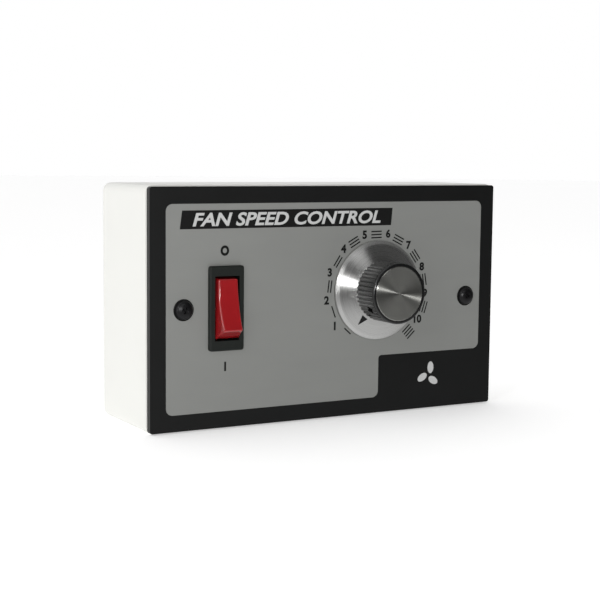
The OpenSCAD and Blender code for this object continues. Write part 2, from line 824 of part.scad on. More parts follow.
// A small machine screw on its own +Z: head radius and height, thread radius and length.
module machine_screw(head_r, head_h, r, len) {
    cross_pan_head(head_r, head_h);
    translate([0, 0, -len]) cylinder(h = len + eps, r = r, $fn = 32);
}

module board_screws() color("silver") {
    at_board_screws() translate([0, y_parts, 0]) rotate([-90, 0, 0])
        machine_screw(2.7, 1.8, board_screw_r, board_t + 6);
}

module triac_tab() color("silver") {
    low = y_rear + pad_t;
    leg_y = low + triac_body_t / 2;
    foot = triac_z - triac_leg_drop;
    difference() {
        block([triac_x - triac_w / 2, low, triac_z],
            [triac_x + triac_w / 2, low + triac_tab_t, triac_z + triac_tab_h]);
        rod(triac_x, triac_z + triac_hole, low - 1, low + 2, m3_r + 0.3);
    }
    for (i = [-1 : 1]) translate([triac_x + triac_leg_pitch * i - triac_leg[0] / 2, 0, 0]) {
        block([0, leg_y, foot], [triac_leg[0], leg_y + triac_leg[1], triac_z - triac_body_low]);
        block([0, leg_y, foot - triac_leg[1]], [triac_leg[0], y_board, foot]);
    }
}

module triac_body() color([0.12, 0.12, 0.13]) {
    low = y_rear + pad_t;
    left = triac_x - triac_w / 2;
    difference() {
        block([left, low, triac_z - triac_body_low],
            [left + triac_w, low + triac_body_t, triac_z + triac_body_high]);
        block([left - eps, low - eps, triac_z],
            [left + triac_w + eps, low + triac_tab_t, triac_z + triac_tab_h]);
    }
}

module triac_pad() color("lightgray") {
    reach = triac_w / 2 + pad_edge;
    difference() {
        block([triac_x - reach, y_rear, triac_z - triac_body_low - pad_edge],
            [triac_x + reach, y_rear + pad_t, triac_z + triac_tab_h + pad_edge]);
        rod(triac_x, triac_z + triac_hole, y_rear - 1, y_rear + 1, m3_r + 0.3);
    }
}

module triac_screw() color("silver") {
    under_head = pad_t + triac_tab_t;
    translate([triac_x, y_rear + under_head, triac_z + triac_hole]) rotate([-90, 0, 0])
        machine_screw(2.8, 2, m3_r - fit, under_head + tapped_depth - 0.2);
}

module choke_core() color("khaki") {
    translate([choke_x, y_parts + 2 * wire_d, choke_z]) rotate([-90, 0, 0]) difference() {
        cylinder(h = core_h, r = core_r[1], $fn = 96);
        translate([0, 0, -1]) cylinder(h = core_h + 2, r = core_r[0], $fn = 64);
    }
}

// One turn of wire round the core's section, about the section's middle.
module choke_turn() {
    w = core_r[1] - core_r[0] + 2 * fit;
    h = core_h + 2 * fit;
    linear_extrude(wire_d, center = true) difference() {
        square([w + 2 * wire_d, h + 2 * wire_d], center = true);
        square([w, h], center = true);
    }
}

module choke_winding() color([0.72, 0.35, 0.15]) {
    translate([choke_x, y_parts + 2 * wire_d + core_h / 2, choke_z])
        for (i = [0 : turns - 1]) rotate([0, 360 * (i + 0.5) / (turns + 1), 0])
            translate([(core_r[0] + core_r[1]) / 2, 0, 0]) choke_turn();
}

// A box-shaped component that stands on the board: its middle, and its length, height and width.
module boxed_component(x, z, size) {
    translate([x - size[0] / 2, y_parts, z - size[2] / 2]) cube(size);
}

module suppression_capacitor() color("gold") {
    boxed_component(line_cap_x, line_cap_z, line_cap);
}

module timing_capacitor() color("firebrick") {
    boxed_component(line_cap_x, timing_cap_z, timing_cap);
}

module resistors() color("tan") {
    end = resistor_len / 2;
    lead_x = end + 2;
    for (i = [0 : 2]) translate([resistor_x, y_parts, resistor_z - resistor_pitch * i]) {
        rod_x(-end, end, resistor_rise, 0, resistor_r);
        for (s = [-1, 1]) {
            rod_x(s > 0 ? end - eps : -lead_x, s > 0 ? lead_x : eps - end, resistor_rise, 0, resistor_lead_r);
            rod(s * lead_x, 0, 0, resistor_rise + resistor_lead_r, resistor_lead_r);
        }
    }
}

module trimmer_body() color("royalblue") {
    difference() {
        boxed_component(trimmer_x, 0, [trimmer_size, trimmer_h, trimmer_size]);
        rod(trimmer_x, 0, y_parts + trimmer_floor, y_parts + trimmer_h + 1, rotor_r + run);
    }
}

module trimmer_rotor() color("white") {
    top = y_parts + trimmer_h + 0.4;
    slot_w = 0.8;
    difference() {
        rod(trimmer_x, 0, y_parts + trimmer_floor + run, top, rotor_r);
        block([trimmer_x - slot_w / 2, top - 1, -rotor_r - 1],
            [trimmer_x + slot_w / 2, top + 1, rotor_r + 1]);
    }
}

module fuse_clips() color("silver") {
    half = clip_w / 2;
    outer = fuse_r + clip_leaf;
    mouth = fuse_r - 0.6;
    for (s = [-1, 1]) translate([fuse_x + s * (fuse_len - fuse_cap) / 2, y_parts, fuse_z]) difference() {
        union() {
            block([-half, 0, -outer], [half, fuse_rise + 2.4, outer]);
            rod_x(-half, half, fuse_rise, 0, outer + fit);
        }
        rod_x(-half - 1, half + 1, fuse_rise, 0, fuse_r + fit);
        block([-half - 1, clip_leaf, -fuse_r], [half + 1, fuse_rise, fuse_r]);
        block([-half - 1, fuse_rise + 1.9, -mouth], [half + 1, fuse_rise + 6, mouth]);
    }
}

module fuse_tube() color([0.9, 0.95, 0.95, 0.5]) {
    half = fuse_len / 2 - fuse_cap;
    translate([fuse_x, y_parts + fuse_rise, fuse_z]) difference() {
        rod_x(-half, half, 0, 0, fuse_r - 0.25);
        rod_x(-half - 1, half + 1, 0, 0, fuse_r - 1);
    }
}

module fuse_caps() color("silver") {
    half = fuse_len / 2;
    for (s = [-1, 1]) translate([fuse_x, y_parts + fuse_rise, fuse_z])
        rod_x(s > 0 ? half - fuse_cap : -half, s > 0 ? half : fuse_cap - half, 0, 0, fuse_r);
}

// Something at the middle of each way of the terminal block, on its lower face.
module at_ways() {
    for (i = [0 : ways - 1]) translate([block_x0 + (i + 0.5) * way_pitch, y_parts, block_z0]) children();
}

module terminal_block() color("darkslategray") {
    difference() {
        translate([block_x0, y_parts, block_z0]) cube([ways * way_pitch, block_h, block_d]);
        at_ways() {
            block([-cage_w / 2, cage_low, -eps], [cage_w / 2, cage_high, cage_d]);
            rod(0, cage_screw_z, cage_high - 1, block_h + 1, 2.2);
        }
    }
}

module terminal_cages() color("goldenrod") {
    sheet = 0.9;
    screw_wall = 2.4;
    half = cage_w / 2;
    at_ways() difference() {
        block([fit - half, cage_low + fit, sheet], [half - fit, cage_high - fit, cage_d - fit]);
        block([sheet - half, cage_low + sheet, -1], [half - sheet, cage_high - screw_wall, cage_d + 1]);
        rod(0, cage_screw_z, cage_low + sheet, cage_high + 1, cage_screw_r + fit);
    }
}

module terminal_screws() color("silver") {
    head_top = cage_high + 2.3;
    slot_w = 0.8;
    at_ways() difference() {
        union() {
            rod(0, cage_screw_z, cage_high - 4, cage_high + 0.6, cage_screw_r);
            rod(0, cage_screw_z, cage_high + 0.5, head_top, 2);
        }
        block([-3, head_top - 1, cage_screw_z - slot_w / 2], [3, head_top + 1, cage_screw_z + slot_w / 2]);
    }
}

// ---------- earth ----------

module earth_block() color("goldenrod") {
    difference() {
        block(earth_low, earth_high);
        rod_z(earth_x, earth_mid_y, earth_low[2] - 1, earth_high[2] - 2, earth_entry_r);
        rod(earth_x, earth_screw_z, earth_low[1] - 1, earth_mid_y, earth_screw_r + fit);
    }
}

module earth_screw() color("silver") {
    head_h = 1.8;
    slot_w = 0.8;
    difference() {
        union() {
            rod(earth_x, earth_screw_z, earth_low[1] - head_h, earth_low[1], 2.8);
            rod(earth_x, earth_screw_z, earth_low[1] - eps, earth_mid_y - 0.6, earth_screw_r);
        }
        block([earth_x - 3, earth_low[1] - head_h - 1, earth_screw_z - slot_w / 2],
            [earth_x + 3, earth_low[1] - head_h + 0.8, earth_screw_z + slot_w / 2]);
    }
}

module earth_stud() color("silver") {
    rod(earth_x, earth_z, y_rear - tapped_depth + fit, y_rear + stud_len, stud_r);
}

module earth_nut() color("silver") {
    across_flats = 7;
    low = y_rear + tag_t;
    translate([earth_x, 0, earth_z]) difference() {
        slab(low, low + 3.2) circle(r = across_flats / 2 / cos(30), $fn = 6);
        rod(0, 0, low - 1, low + 4, stud_r + fit);
    }
}

barrel_y = y_rear + tag_barrel[0] + 0.4;

module earth_tag() color("gainsboro") {
    neck = tag_barrel[0];
    translate([earth_x, 0, earth_z]) {
        difference() {
            union() {
                rod(0, 0, y_rear, y_rear + tag_t, 2 * stud_r);
                block([-neck, y_rear, -tag_barrel[2] - tag_t], [neck, y_rear + tag_t, -stud_r - 1]);
                block([-neck, y_rear, -tag_barrel[2] - tag_t], [neck, barrel_y, -tag_barrel[2]]);
            }
            rod(0, 0, y_rear - 1, y_rear + 1, stud_r + fit);
        }
        rod_z(0, barrel_y, -tag_barrel[1], -tag_barrel[2], tag_barrel[0]);
    }
}

module earth_lead() color("yellowgreen") {
    into_block = 2;
    wire([earth_x, barrel_y, earth_z - tag_barrel[1]], [0, 0, -7],
        [earth_x, earth_mid_y, earth_low[2] + into_block], [0, 0, -9], 1.25, [1, 0, 0]);
}

// ---------- leads ----------

receptacle_end = tab_end + 4;
lead_z = [10, 7, -7];   // of each switch lead's end on the board

module switch_receptacles() color("crimson") {
    translate([switch_x, 0, 0]) for (z = tab_z) difference() {
        union() {
            block([-3.2, switch_back + 1, z - 1.4], [3.2, tab_end, z + 1.4]);
            rod(0, z, tab_end - eps, receptacle_end, 1.6);
        }
        block([-tab_w / 2 - fit, switch_back, z - tab_t / 2 - fit],
            [tab_w / 2 + fit, tab_end + fit, z + tab_t / 2 + fit]);
    }
}

module switch_leads() color("saddlebrown") {
    for (i = [0 : 2]) wire([switch_x, receptacle_end, tab_z[i]], [0, 7, 0],
        [board_x0 + 2.5, y_parts, lead_z[i]], [0, 14, 0], 1.1, [0, 0, 1]);
}

module pot_leads() color("white") {
    lug_mid_y = y_rear + flange_t + wafer_t + lug_t / 2;
    for (i = [-1 : 1]) wire([knob_x + lug_pitch * i, lug_mid_y, knob_z - pot_r - lug_drop], [0, 0, -5],
        [knob_x + 4 * i, y_board, knob_z - pot_r - lug_drop - 6], [0, -6, 0], 0.75, [1, 0, 0]);
}

wall_box();
box_inserts();
front_plate();
face_label();
plate_screws();
switch_housing();
rocker();
rocker_plunger();
plunger_spring();
contact_blade();
switch_terminals();
neon_lamp();
knob_body();
knob_skirt();
knob_cap();
knob_bush();
knob_set_screw();
pot_shaft();
pot_wiper();
pot_bushing();
pot_nut();
pot_washer();
pot_wafer();
pot_terminals();
pot_case();
circuit_board();
board_pillars();
board_screws();
triac_body();
triac_tab();
triac_pad();
triac_screw();
choke_core();
choke_winding();
suppression_capacitor();
timing_capacitor();
resistors();
trimmer_body();
trimmer_rotor();
fuse_clips();
fuse_tube();
fuse_caps();
terminal_block();
terminal_cages();
terminal_screws();
earth_block();
earth_screw();
earth_stud();
earth_nut();
earth_tag();
earth_lead();
switch_leads();
switch_receptacles();
pot_leads();
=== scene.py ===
# %% [markdown]
# A fan speed controller: a white box on the wall, a black plate with a silver panel, a lit red
# rocker switch and a knob with a spun metal skirt. The solids of every part come from the packed
# model, which is loaded as a fixed frame. The parts that show are made again here with finer edges
# and real finishes, and the parts inside keep their shape and get finishes of their own.

# %% Load the frame
import json
import math
import bmesh
import bpy
from mathutils import Matrix, Vector


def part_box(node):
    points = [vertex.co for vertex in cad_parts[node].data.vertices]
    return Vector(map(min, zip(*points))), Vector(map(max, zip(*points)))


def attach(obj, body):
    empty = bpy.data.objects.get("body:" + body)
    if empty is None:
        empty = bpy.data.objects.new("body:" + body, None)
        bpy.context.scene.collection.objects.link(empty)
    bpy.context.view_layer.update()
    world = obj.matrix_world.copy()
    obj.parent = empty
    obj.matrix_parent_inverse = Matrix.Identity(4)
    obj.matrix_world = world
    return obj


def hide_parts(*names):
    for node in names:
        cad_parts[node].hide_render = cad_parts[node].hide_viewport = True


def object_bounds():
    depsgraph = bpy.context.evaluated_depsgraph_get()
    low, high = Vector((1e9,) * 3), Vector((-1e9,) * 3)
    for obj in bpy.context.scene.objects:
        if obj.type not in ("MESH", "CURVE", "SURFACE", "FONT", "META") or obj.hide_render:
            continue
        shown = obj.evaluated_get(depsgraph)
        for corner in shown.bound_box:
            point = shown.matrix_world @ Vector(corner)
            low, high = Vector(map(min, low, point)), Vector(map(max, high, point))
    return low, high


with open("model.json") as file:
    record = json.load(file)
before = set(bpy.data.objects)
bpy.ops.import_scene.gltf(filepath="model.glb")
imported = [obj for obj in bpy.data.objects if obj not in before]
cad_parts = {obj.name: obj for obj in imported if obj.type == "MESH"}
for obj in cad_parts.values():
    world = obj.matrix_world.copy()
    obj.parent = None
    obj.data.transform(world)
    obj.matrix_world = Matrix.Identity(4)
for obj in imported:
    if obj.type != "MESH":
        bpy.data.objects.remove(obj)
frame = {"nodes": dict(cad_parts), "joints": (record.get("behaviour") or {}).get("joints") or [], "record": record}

cad_box = [list(corner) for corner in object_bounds()]
joints = {joint["name"]: joint for joint in frame["joints"]}
slot_of = {part["node"]: part["material_slot"] for part in frame["record"]["subparts"]}

# %% [markdown]
# Everything is drawn in millimetres, as on a maker's drawing, and turned into metres at one place.
# The main planes and centres are read from the frame, so a piece always lands where its part is.

# %% Planes and centres
MM = 0.001


def low(node, axis):
    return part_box(node)[0]["xyz".index(axis)] / MM


def high(node, axis):
    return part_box(node)[1]["xyz".index(axis)] / MM


def middle(node, axis):
    return (low(node, axis) + high(node, axis)) / 2


def reach(node, axis):
    return high(node, axis) - low(node, axis)


PLATE_FRONT = low("front_plate", "y")
PLATE_BACK = high("front_plate", "y")
PANEL_FRONT = low("face_label", "y")
SWITCH_X = middle("switch_housing", "x")
KNOB_X, KNOB_Z = middle("knob_skirt", "x"), middle("knob_skirt", "z")
SCREW_X = high("plate_screws", "x") - reach("plate_screws", "z") / 2
ROCKER_TURN = -math.radians(joints["rocker_tilt"]["range_deg"][1] / 2)
PIVOT_Y = joints["rocker_tilt"]["pos_m"][1] / MM
print("knob at", round(KNOB_X, 2), round(KNOB_Z, 2), "switch at", round(SWITCH_X, 2),
      "screws at", round(SCREW_X, 2))

# %% [markdown]
# The camera stands to the left of the controller and a little above it, with a long lens, as a
# catalogue view is taken. It is placed first, because every later choice is judged through it. A
# camera looks along its own -Z with +Y up, so its turn is built from the line to the target.

# %% Camera
AIM_AT, STANDS_AT = Vector((-0.01369, -0.0445, 0.00151)), Vector((-0.2591, -0.4805, 0.0549))
ROLL, FOCAL_LENGTH, SENSOR = math.radians(0.543), 82.7, 36


def placed(name, data):
    """An object of the data, linked to the scene."""
    made = bpy.data.objects.new(name, data)
    bpy.context.scene.collection.objects.link(made)
    return made


camera = placed("catalogue_camera", bpy.data.cameras.new("catalogue_camera"))
facing = (AIM_AT - STANDS_AT).to_track_quat("-Z", "Y").to_matrix().to_4x4()
camera.matrix_world = Matrix.Translation(STANDS_AT) @ facing @ Matrix.Rotation(ROLL, 4, "Z")
camera.data.lens, camera.data.sensor_width = FOCAL_LENGTH, SENSOR
camera.data.clip_start, camera.data.clip_end = 0.01, 20
bpy.context.scene.camera = camera
print("camera", round((AIM_AT - STANDS_AT).length, 3), "m from the plate")

# %% [markdown]
# The controller stands on a wide pale floor, which is a disc so that no corner of it ever shows.
# It isn't part of the object. Nothing stands behind it, because a wall would shade the object
# from the bright surround. The floor is left out of reflections, so that metal and gloss mirror
# the room alone, which is easier to shape.

# %% Floor
FLOOR_R = 5
disc = bmesh.new()
bmesh.ops.create_circle(disc, cap_ends=True, segments=96, radius=FLOOR_R)
bmesh.ops.inset_region(disc, faces=disc.faces, thickness=FLOOR_R * 0.8, use_even_offset=True)
bmesh.ops.translate(disc, verts=disc.verts, vec=(0, 0, cad_box[0][2]))
floor = placed("studio_floor", bpy.data.meshes.new("studio_floor"))
disc.to_mesh(floor.data)
disc.free()
floor.visible_glossy = False
print("floor at z", round(cad_box[0][2], 4))

# %% [markdown]
# Metal looks like metal only where it mirrors both light and dark. So the room is bright behind
# and on the left, where the white box needs it, and dark in front and on the right, and the ground
# below is light. A tall lamp on the left, like a window, draws a long line down every upright
# edge. A long thin lamp in front, tilted a little, draws the narrow streak across the spun cap,
# and a soft lamp above in front fills the upper side of the skirt.

# %% Light: the lamps
SWITCH_SIDE, KNOB_SIDE, CAP_MIDDLE = (-0.02, -0.05, 0), (0.02, -0.05, 0), (0.019, -0.06, 0.004)


def lamp(name, place, at, power, wide, tall, roll=0.0):
    """A rectangular lamp that faces a point. Places and sides are in metres, roll in degrees."""
    light = bpy.data.lights.new(name, "AREA")
    light.shape = "RECTANGLE"
    light.size, light.size_y, light.energy = wide, tall, power
    holder = placed(name, light)
    holder.location = place
    facing = (Vector(at) - Vector(place)).to_track_quat("-Z", "Y").to_matrix()
    holder.rotation_euler = (facing @ Matrix.Rotation(math.radians(roll), 3, "Z")).to_euler()


lamp("window_light", (-1.05, -0.8, 0.35), SWITCH_SIDE, 3.0, 0.1, 1.1)
lamp("top_light", (0.1, -1.15, 0.7), KNOB_SIDE, 0.9, 0.5, 0.5)
lamp("strip_light", (-0.34, -1.195, 0.153), CAP_MIDDLE, 6.0, 0.9, 0.024, roll=-15)
bpy.context.scene.view_settings.view_transform = "Standard"

# %% [markdown]
# The room is one gradient round the sky and another from the ground up, and the brighter of the
# two counts. It could be a picture of a real studio, but a few nodes say the same and can be
# tuned. What the camera sees behind the object is white, whatever the room is in that direction.

# %% A way to write nodes


def add(owner, kind, settings=None, **choices):
    """Adds a node to a material or a world, with values for its sockets and its choices."""
    made = owner.node_tree.nodes.new("ShaderNode" + kind)
    for name, value in choices.items():
        setattr(made, name, value)
    for socket, value in (settings or {}).items():
        made.inputs[socket].default_value = value
    return made


def join(owner, *links):
    """Each link is a node and its output, then a node and its input."""
    for source, output, goal, socket in links:
        owner.node_tree.links.new(source.outputs[output], goal.inputs[socket])


# %% Light: the room
world = bpy.data.worlds.new("studio_room")
world.use_nodes = True
DARK, BRIGHT, GROUND = 0.05, 0.95, 0.8
look = add(world, "TexCoord")
towards = add(world, "VectorMath", {1: (-0.5, 0.866, 0)}, operation="DOT_PRODUCT")
behind = add(world, "MapRange",
             {"From Min": -0.7, "From Max": 0.25, "To Min": DARK, "To Max": BRIGHT})
upright = add(world, "SeparateXYZ")
below = add(world, "MapRange",
            {"From Min": -0.1, "From Max": -0.5, "To Min": DARK, "To Max": GROUND})
brighter = add(world, "Math", operation="MAXIMUM")
rays = add(world, "LightPath")
shown = add(world, "Mix", {"B": 1.0})
backdrop = world.node_tree.nodes["Background"]
backdrop.inputs["Color"].default_value = (1, 1, 1, 1)
join(world, (look, "Generated", towards, 0), (towards, "Value", behind, "Value"),
     (look, "Generated", upright, "Vector"), (upright, "Z", below, "Value"),
     (behind, "Result", brighter, 0), (below, "Result", brighter, 1),
     (rays, "Is Camera Ray", shown, "Factor"), (brighter, "Value", shown, "A"),
     (shown, "Result", backdrop, "Strength"))
bpy.context.scene.world = world
print("room nodes:", len(world.node_tree.nodes))

# %% [markdown]
# A finish is a small graph of nodes. Most finishes here share one idea: the place on the object
# goes into a noise, the noise moves the colour a little between two tones, moves the roughness a
# little, and raises the surface a little. What differs is the scale, the tones and how far each
# one moves. Values that are the same everywhere sit on the shader's own sockets.

# %% Tones and a blank finish


def tone(colour, factor=1.0):
    return (*[min(1.0, channel * factor) for channel in colour[:3]], 1)


def blank(name, colour, rough, metal, **sockets):
    """A material and its shader, with plain values and no pattern yet."""
    mat = bpy.data.materials.new(name)
    mat.use_nodes = True
    shader = mat.node_tree.nodes["Principled BSDF"]
    shader.inputs["Base Color"].default_value = tone(colour)
    shader.inputs["Roughness"].default_value = rough
    shader.inputs["Metallic"].default_value = metal
    for socket, value in sockets.items():
        shader.inputs[socket.replace("_", " ")].default_value = value
    mat.diffuse_color = tone(colour)
    return mat, shader


# %% Tone, polish and relief from a pattern


def two_tones(mat, shader, source, first, second):
    tones = add(mat, "Mix", data_type="RGBA")
    tones.inputs[6].default_value, tones.inputs[7].default_value = first, second
    join(mat, (source, "Fac", tones, "Factor"), (tones, 2, shader, "Base Color"))


def polish(mat, shader, source, lowest, highest):
    """Lets the roughness follow a pattern between two values."""
    matt = add(mat, "MapRange", {"To Min": lowest, "To Max": highest})
    join(mat, (source, "Fac", matt, "Value"), (matt, "Result", shader, "Roughness"))


def emboss(mat, shader, source, output, depth, strength=1.0):
    """Raises the surface by a pattern, to a depth in mm."""
    skin = add(mat, "Bump", {"Strength": strength, "Distance": depth * MM})
    join(mat, (source, output, skin, "Height"), (skin, "Normal", shader, "Normal"))


# %% The common finish


def finish(name, colour, rough, metal=0.0, grain=1.0, shade=0.08, swing=0.06, relief=0.02,
           stretch=(1, 1, 1), **sockets):
    """grain is the size of a speck in mm, shade the spread of tone, swing that of roughness, relief
    the height of the surface in mm, and stretch how often the grain repeats along each axis."""
    mat, shader = blank(name, colour, rough, metal, **sockets)
    place = add(mat, "TexCoord")
    fit = add(mat, "Mapping", {"Scale": stretch})
    specks = add(mat, "TexNoise", {"Scale": 1 / (grain * MM), "Detail": 6.0, "Roughness": 0.6})
    clouds = add(mat, "TexNoise", {"Scale": 1 / (30 * grain * MM), "Detail": 3.0})
    join(mat, (place, "Object", fit, "Vector"), (fit, "Vector", specks, "Vector"),
         (fit, "Vector", clouds, "Vector"))
    two_tones(mat, shader, clouds, tone(colour, 1 - shade), tone(colour, 1 + shade))
    polish(mat, shader, specks, max(0.02, rough - swing), min(1, rough + swing))
    emboss(mat, shader, specks, "Fac", relief)
    return mat


white_moulding = finish("white_moulding", (0.79, 0.79, 0.755), 0.38, grain=0.7, shade=0.02,
                        swing=0.05, relief=0.012)
black_plate = finish("black_plate", (0.004, 0.0043, 0.0043), 0.4, grain=0.45, shade=0.25,
                     swing=0.08, relief=0.012, Specular_IOR_Level=0.3)
floor_paper = finish("floor_paper", (0.93, 0.93, 0.93), 0.9, grain=4, shade=0.01, relief=0.01,
                     Emission_Color=(1, 1, 1, 1), Emission_Strength=0.38)
floor.data.materials.append(floor_paper)
print("first finishes:", white_moulding.name, black_plate.name, floor_paper.name)

# %% [markdown]
# A few moves come back in every piece: shift it, turn it, push its faces out, and round its edges.
# Each is one bmesh operator, so a short function only saves saying the same options every time.

# %% Move, turn, push and round


def move(bm, x=0.0, y=0.0, z=0.0, verts=None):
    """Moves some vertices, or all of them, by millimetres."""
    bmesh.ops.translate(bm, verts=bm.verts if verts is None else verts, vec=Vector((x, y, z)) * MM)


def rotate(bm, axis, degrees, verts=None):
    """Turns some vertices, or all of them, about the origin."""
    bmesh.ops.rotate(bm, verts=bm.verts if verts is None else verts, cent=(0, 0, 0),
                     matrix=Matrix.Rotation(math.radians(degrees), 3, axis))


def push(bm, faces, x=0.0, y=0.0, z=0.0):
    """Extrudes faces by millimetres and leaves the old ones where they were."""
    made = bmesh.ops.extrude_face_region(bm, geom=faces)["geom"]
    move(bm, x, y, z, [item for item in made if isinstance(item, bmesh.types.BMVert)])


def round_off(bm, edges, radius, segments, clamp=False):
    bmesh.ops.bevel(bm, geom=edges, offset=radius * MM, segments=segments, profile=0.5,
                    affect="EDGES", material=-1, clamp_overlap=clamp)


# %% [markdown]
# Every piece ends the same way. Its doubles are merged and its faces turned outwards, and it
# becomes a mesh with soft shading that breaks at true corners. Soft shading would bend a flat face
# towards the rounds beside it, so the large faces are given more weight, and stay flat to the eye.
# Then it rides on the body of its part, hides the CAD solid that it stands for, and takes its
# finish.

# %% From a bmesh to a finished piece
MERGE = 1e-6
replaced = set()


def object_of(name, bm, material=None):
    bmesh.ops.remove_doubles(bm, verts=bm.verts, dist=MERGE)
    bmesh.ops.recalc_face_normals(bm, faces=bm.faces)
    made = placed(name, bpy.data.meshes.new(name))
    bm.to_mesh(made.data)
    bm.free()
    if material:
        made.data.materials.append(material)
    return made


def final_mesh(made):
    """The mesh that an object shows once its modifiers have run."""
    bpy.context.view_layer.update()
    return bpy.data.meshes.new_from_object(
        made.evaluated_get(bpy.context.evaluated_depsgraph_get()))


def settle(made, node, body="housing", corner=30):
    """Shades a piece, mounts it on its body and hides the node that it stands for."""
    made.data.shade_smooth()
    made.data.set_sharp_from_angle(angle=math.radians(corner))
    made.modifiers.new("face_weights", "WEIGHTED_NORMAL").keep_sharp = True
    made.data = final_mesh(made)
    made.modifiers.clear()
    made.data.name = made.name
    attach(made, body)
    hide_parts(node)
    replaced.add(node)
    print(f"{made.name}: {len(made.data.polygons)} faces on {body}")


# %% [markdown]
# Most moulded parts here begin as a block. A block is a cube of size one that is scaled and moved
# to two corners, and a slab with round corners is a block whose four edges along Y are bevelled.

# %% Blocks and slabs


def block(x0, x1, y0, y1, z0, z1, bm=None):
    bm = bm or bmesh.new()
    verts = bmesh.ops.create_cube(bm, size=1)["verts"]
    bmesh.ops.scale(bm, verts=verts, vec=((x1 - x0) * MM, (y1 - y0) * MM, (z1 - z0) * MM))
    move(bm, (x0 + x1) / 2, (y0 + y1) / 2, (z0 + z1) / 2, verts)
    return bm


def along(edge, axis):
    way = (edge.verts[1].co - edge.verts[0].co).normalized()
    return abs(way["xyz".index(axis)]) > 0.99


def slab(wide, tall, y0, y1, radius, x=0.0, z=0.0, segments=8):
    bm = block(x - wide / 2, x + wide / 2, y0, y1, z - tall / 2, z + tall / 2)
    round_off(bm, [edge for edge in bm.edges if along(edge, "y")], radius, segments)
    return bm


# %% [markdown]
# Round parts are turned, as on a lathe: half of the outline is drawn as radius and height, and
# spun once round the axis. The knob, the skirt, the cap, the screws and every drilled hole start
# so.

# %% Turned parts


def turned(outline, steps=64, x=0.0, y=0.0, z=0.0, ring=False):
    """Spins (radius, height) points about an axis that runs out of the plate, along -Y."""
    bm = bmesh.new()
    points = [bm.verts.new((radius * MM, -height * MM, 0)) for radius, height in outline]
    pairs = list(zip(points, points[1:])) + ([(points[-1], points[0])] if ring else [])
    edges = [bm.edges.new(pair) for pair in pairs]
    bmesh.ops.spin(bm, geom=points + edges, cent=(0, 0, 0), axis=(0, 1, 0), angle=math.tau,
                   steps=steps, use_merge=True)
    bmesh.ops.remove_doubles(bm, verts=bm.verts, dist=MERGE)
    move(bm, x, y, z)
    return bm


def rod(radius, h0, h1, steps=48, **place):
    return turned([(0, h0), (radius, h0), (radius, h1), (0, h1)], steps, **place)


def bar_x(radius, x0, x1, **place):
    """A rod that lies along X."""
    bm = rod(radius, -x1, -x0, 40)
    rotate(bm, "Z", -90)
    move(bm, **place)
    return bm


# %% [markdown]
# Holes are cut with Boolean modifiers, which are applied at once, so no live modifier is left. The
# cutters are plain pieces that are thrown away after use. The exact solver is asked for, because
# many of the cuts end on flat faces.

# %% Cutting and joining


def carve(name, body_bm, cuts=(), joins=(), material=None):
    made = object_of(name, body_bm, material)
    tools = []
    for operation, group in (("UNION", joins), ("DIFFERENCE", cuts)):
        for tool_bm in group:
            tool = object_of("tool", tool_bm)
            tools.append(tool)
            cut = made.modifiers.new("cut", "BOOLEAN")
            cut.operation, cut.object, cut.solver = operation, tool, "EXACT"
    result = final_mesh(made)
    made.modifiers.clear()
    made.data = result
    result.name = name
    for tool in tools:
        bpy.data.objects.remove(tool)
    return made


def chamfer(made, width, only=None):
    """Rounds the true corners of a finished mesh, with its flat faces merged first."""
    bm = bmesh.new()
    bm.from_mesh(made.data)
    bmesh.ops.remove_doubles(bm, verts=bm.verts, dist=2 * MERGE)
    bmesh.ops.dissolve_limit(bm, angle_limit=math.radians(0.5), verts=bm.verts, edges=bm.edges,
                             use_dissolve_boundaries=False)
    edges = [edge for edge in bm.edges if len(edge.link_faces) == 2
             and edge.calc_face_angle(0) > math.radians(60) and (only is None or only(edge))]
    round_off(bm, edges, width, 2, clamp=True)
    bm.to_mesh(made.data)
    bm.free()
    return len(edges)


# %% [markdown]
# The wall box is a thin moulded tray with its mouth at the plate. It could be six walls joined,
# but a moulding has one skin: so a block gets 3 mm rounds on every edge but those of its mouth,
# the mouth is inset by the wall and pushed down to the floor, and only then do the slots, the
# cable entry, the knock-out grooves and the two screw pillars follow.

# %% Wall box: the tray
WALL, BOX_ROUND = 2.2, 3
BOX_W, BOX_H, BOX_D = reach("wall_box", "x"), reach("wall_box", "z"), reach("wall_box", "y")
tray = block(-BOX_W / 2, BOX_W / 2, -BOX_D, 0, -BOX_H / 2, BOX_H / 2)
outer = [edge for edge in tray.edges if any(vert.co.y > -MM for vert in edge.verts)]
round_off(tray, outer, BOX_ROUND, 7)
mouth = [face for face in tray.faces
         if face.normal.y < -0.9 and face.calc_center_median().y < -0.04]
bmesh.ops.inset_region(tray, faces=mouth, thickness=WALL * MM, use_even_offset=True)
push(tray, mouth, y=BOX_D - WALL)
bmesh.ops.delete(tray, geom=mouth, context="FACES_ONLY")
print("tray", round(BOX_W, 1), "x", round(BOX_H, 1), "x", round(BOX_D, 1), "mm,",
      len(tray.faces), "faces")

# %% Wall box: slots, entry, knock-outs and pillars
ENTRY_R, ENTRY_Z, GROOVE = 10.25, -12.0, 1.4
SLOT_X, SLOT_Z, SLOT_LONG, SLOT_WIDE = 44.0, 28.0, 9, 4.5
PILLAR_R, SCREW_WAY_R, SCREW_WAY = 4.5, 1.8, 20
EARTH_X, EARTH_Z, EARTH_PILLAR_R = middle("earth_screw", "x"), middle("earth_screw", "z"), 3.5
IN_WALL = WALL / 2   # a pillar starts half way through a wall, so that the two melt together
UP, DOWN, RIGHT, LEFT = ("X", -90), ("X", 90), ("Z", 90), ("Z", -90)


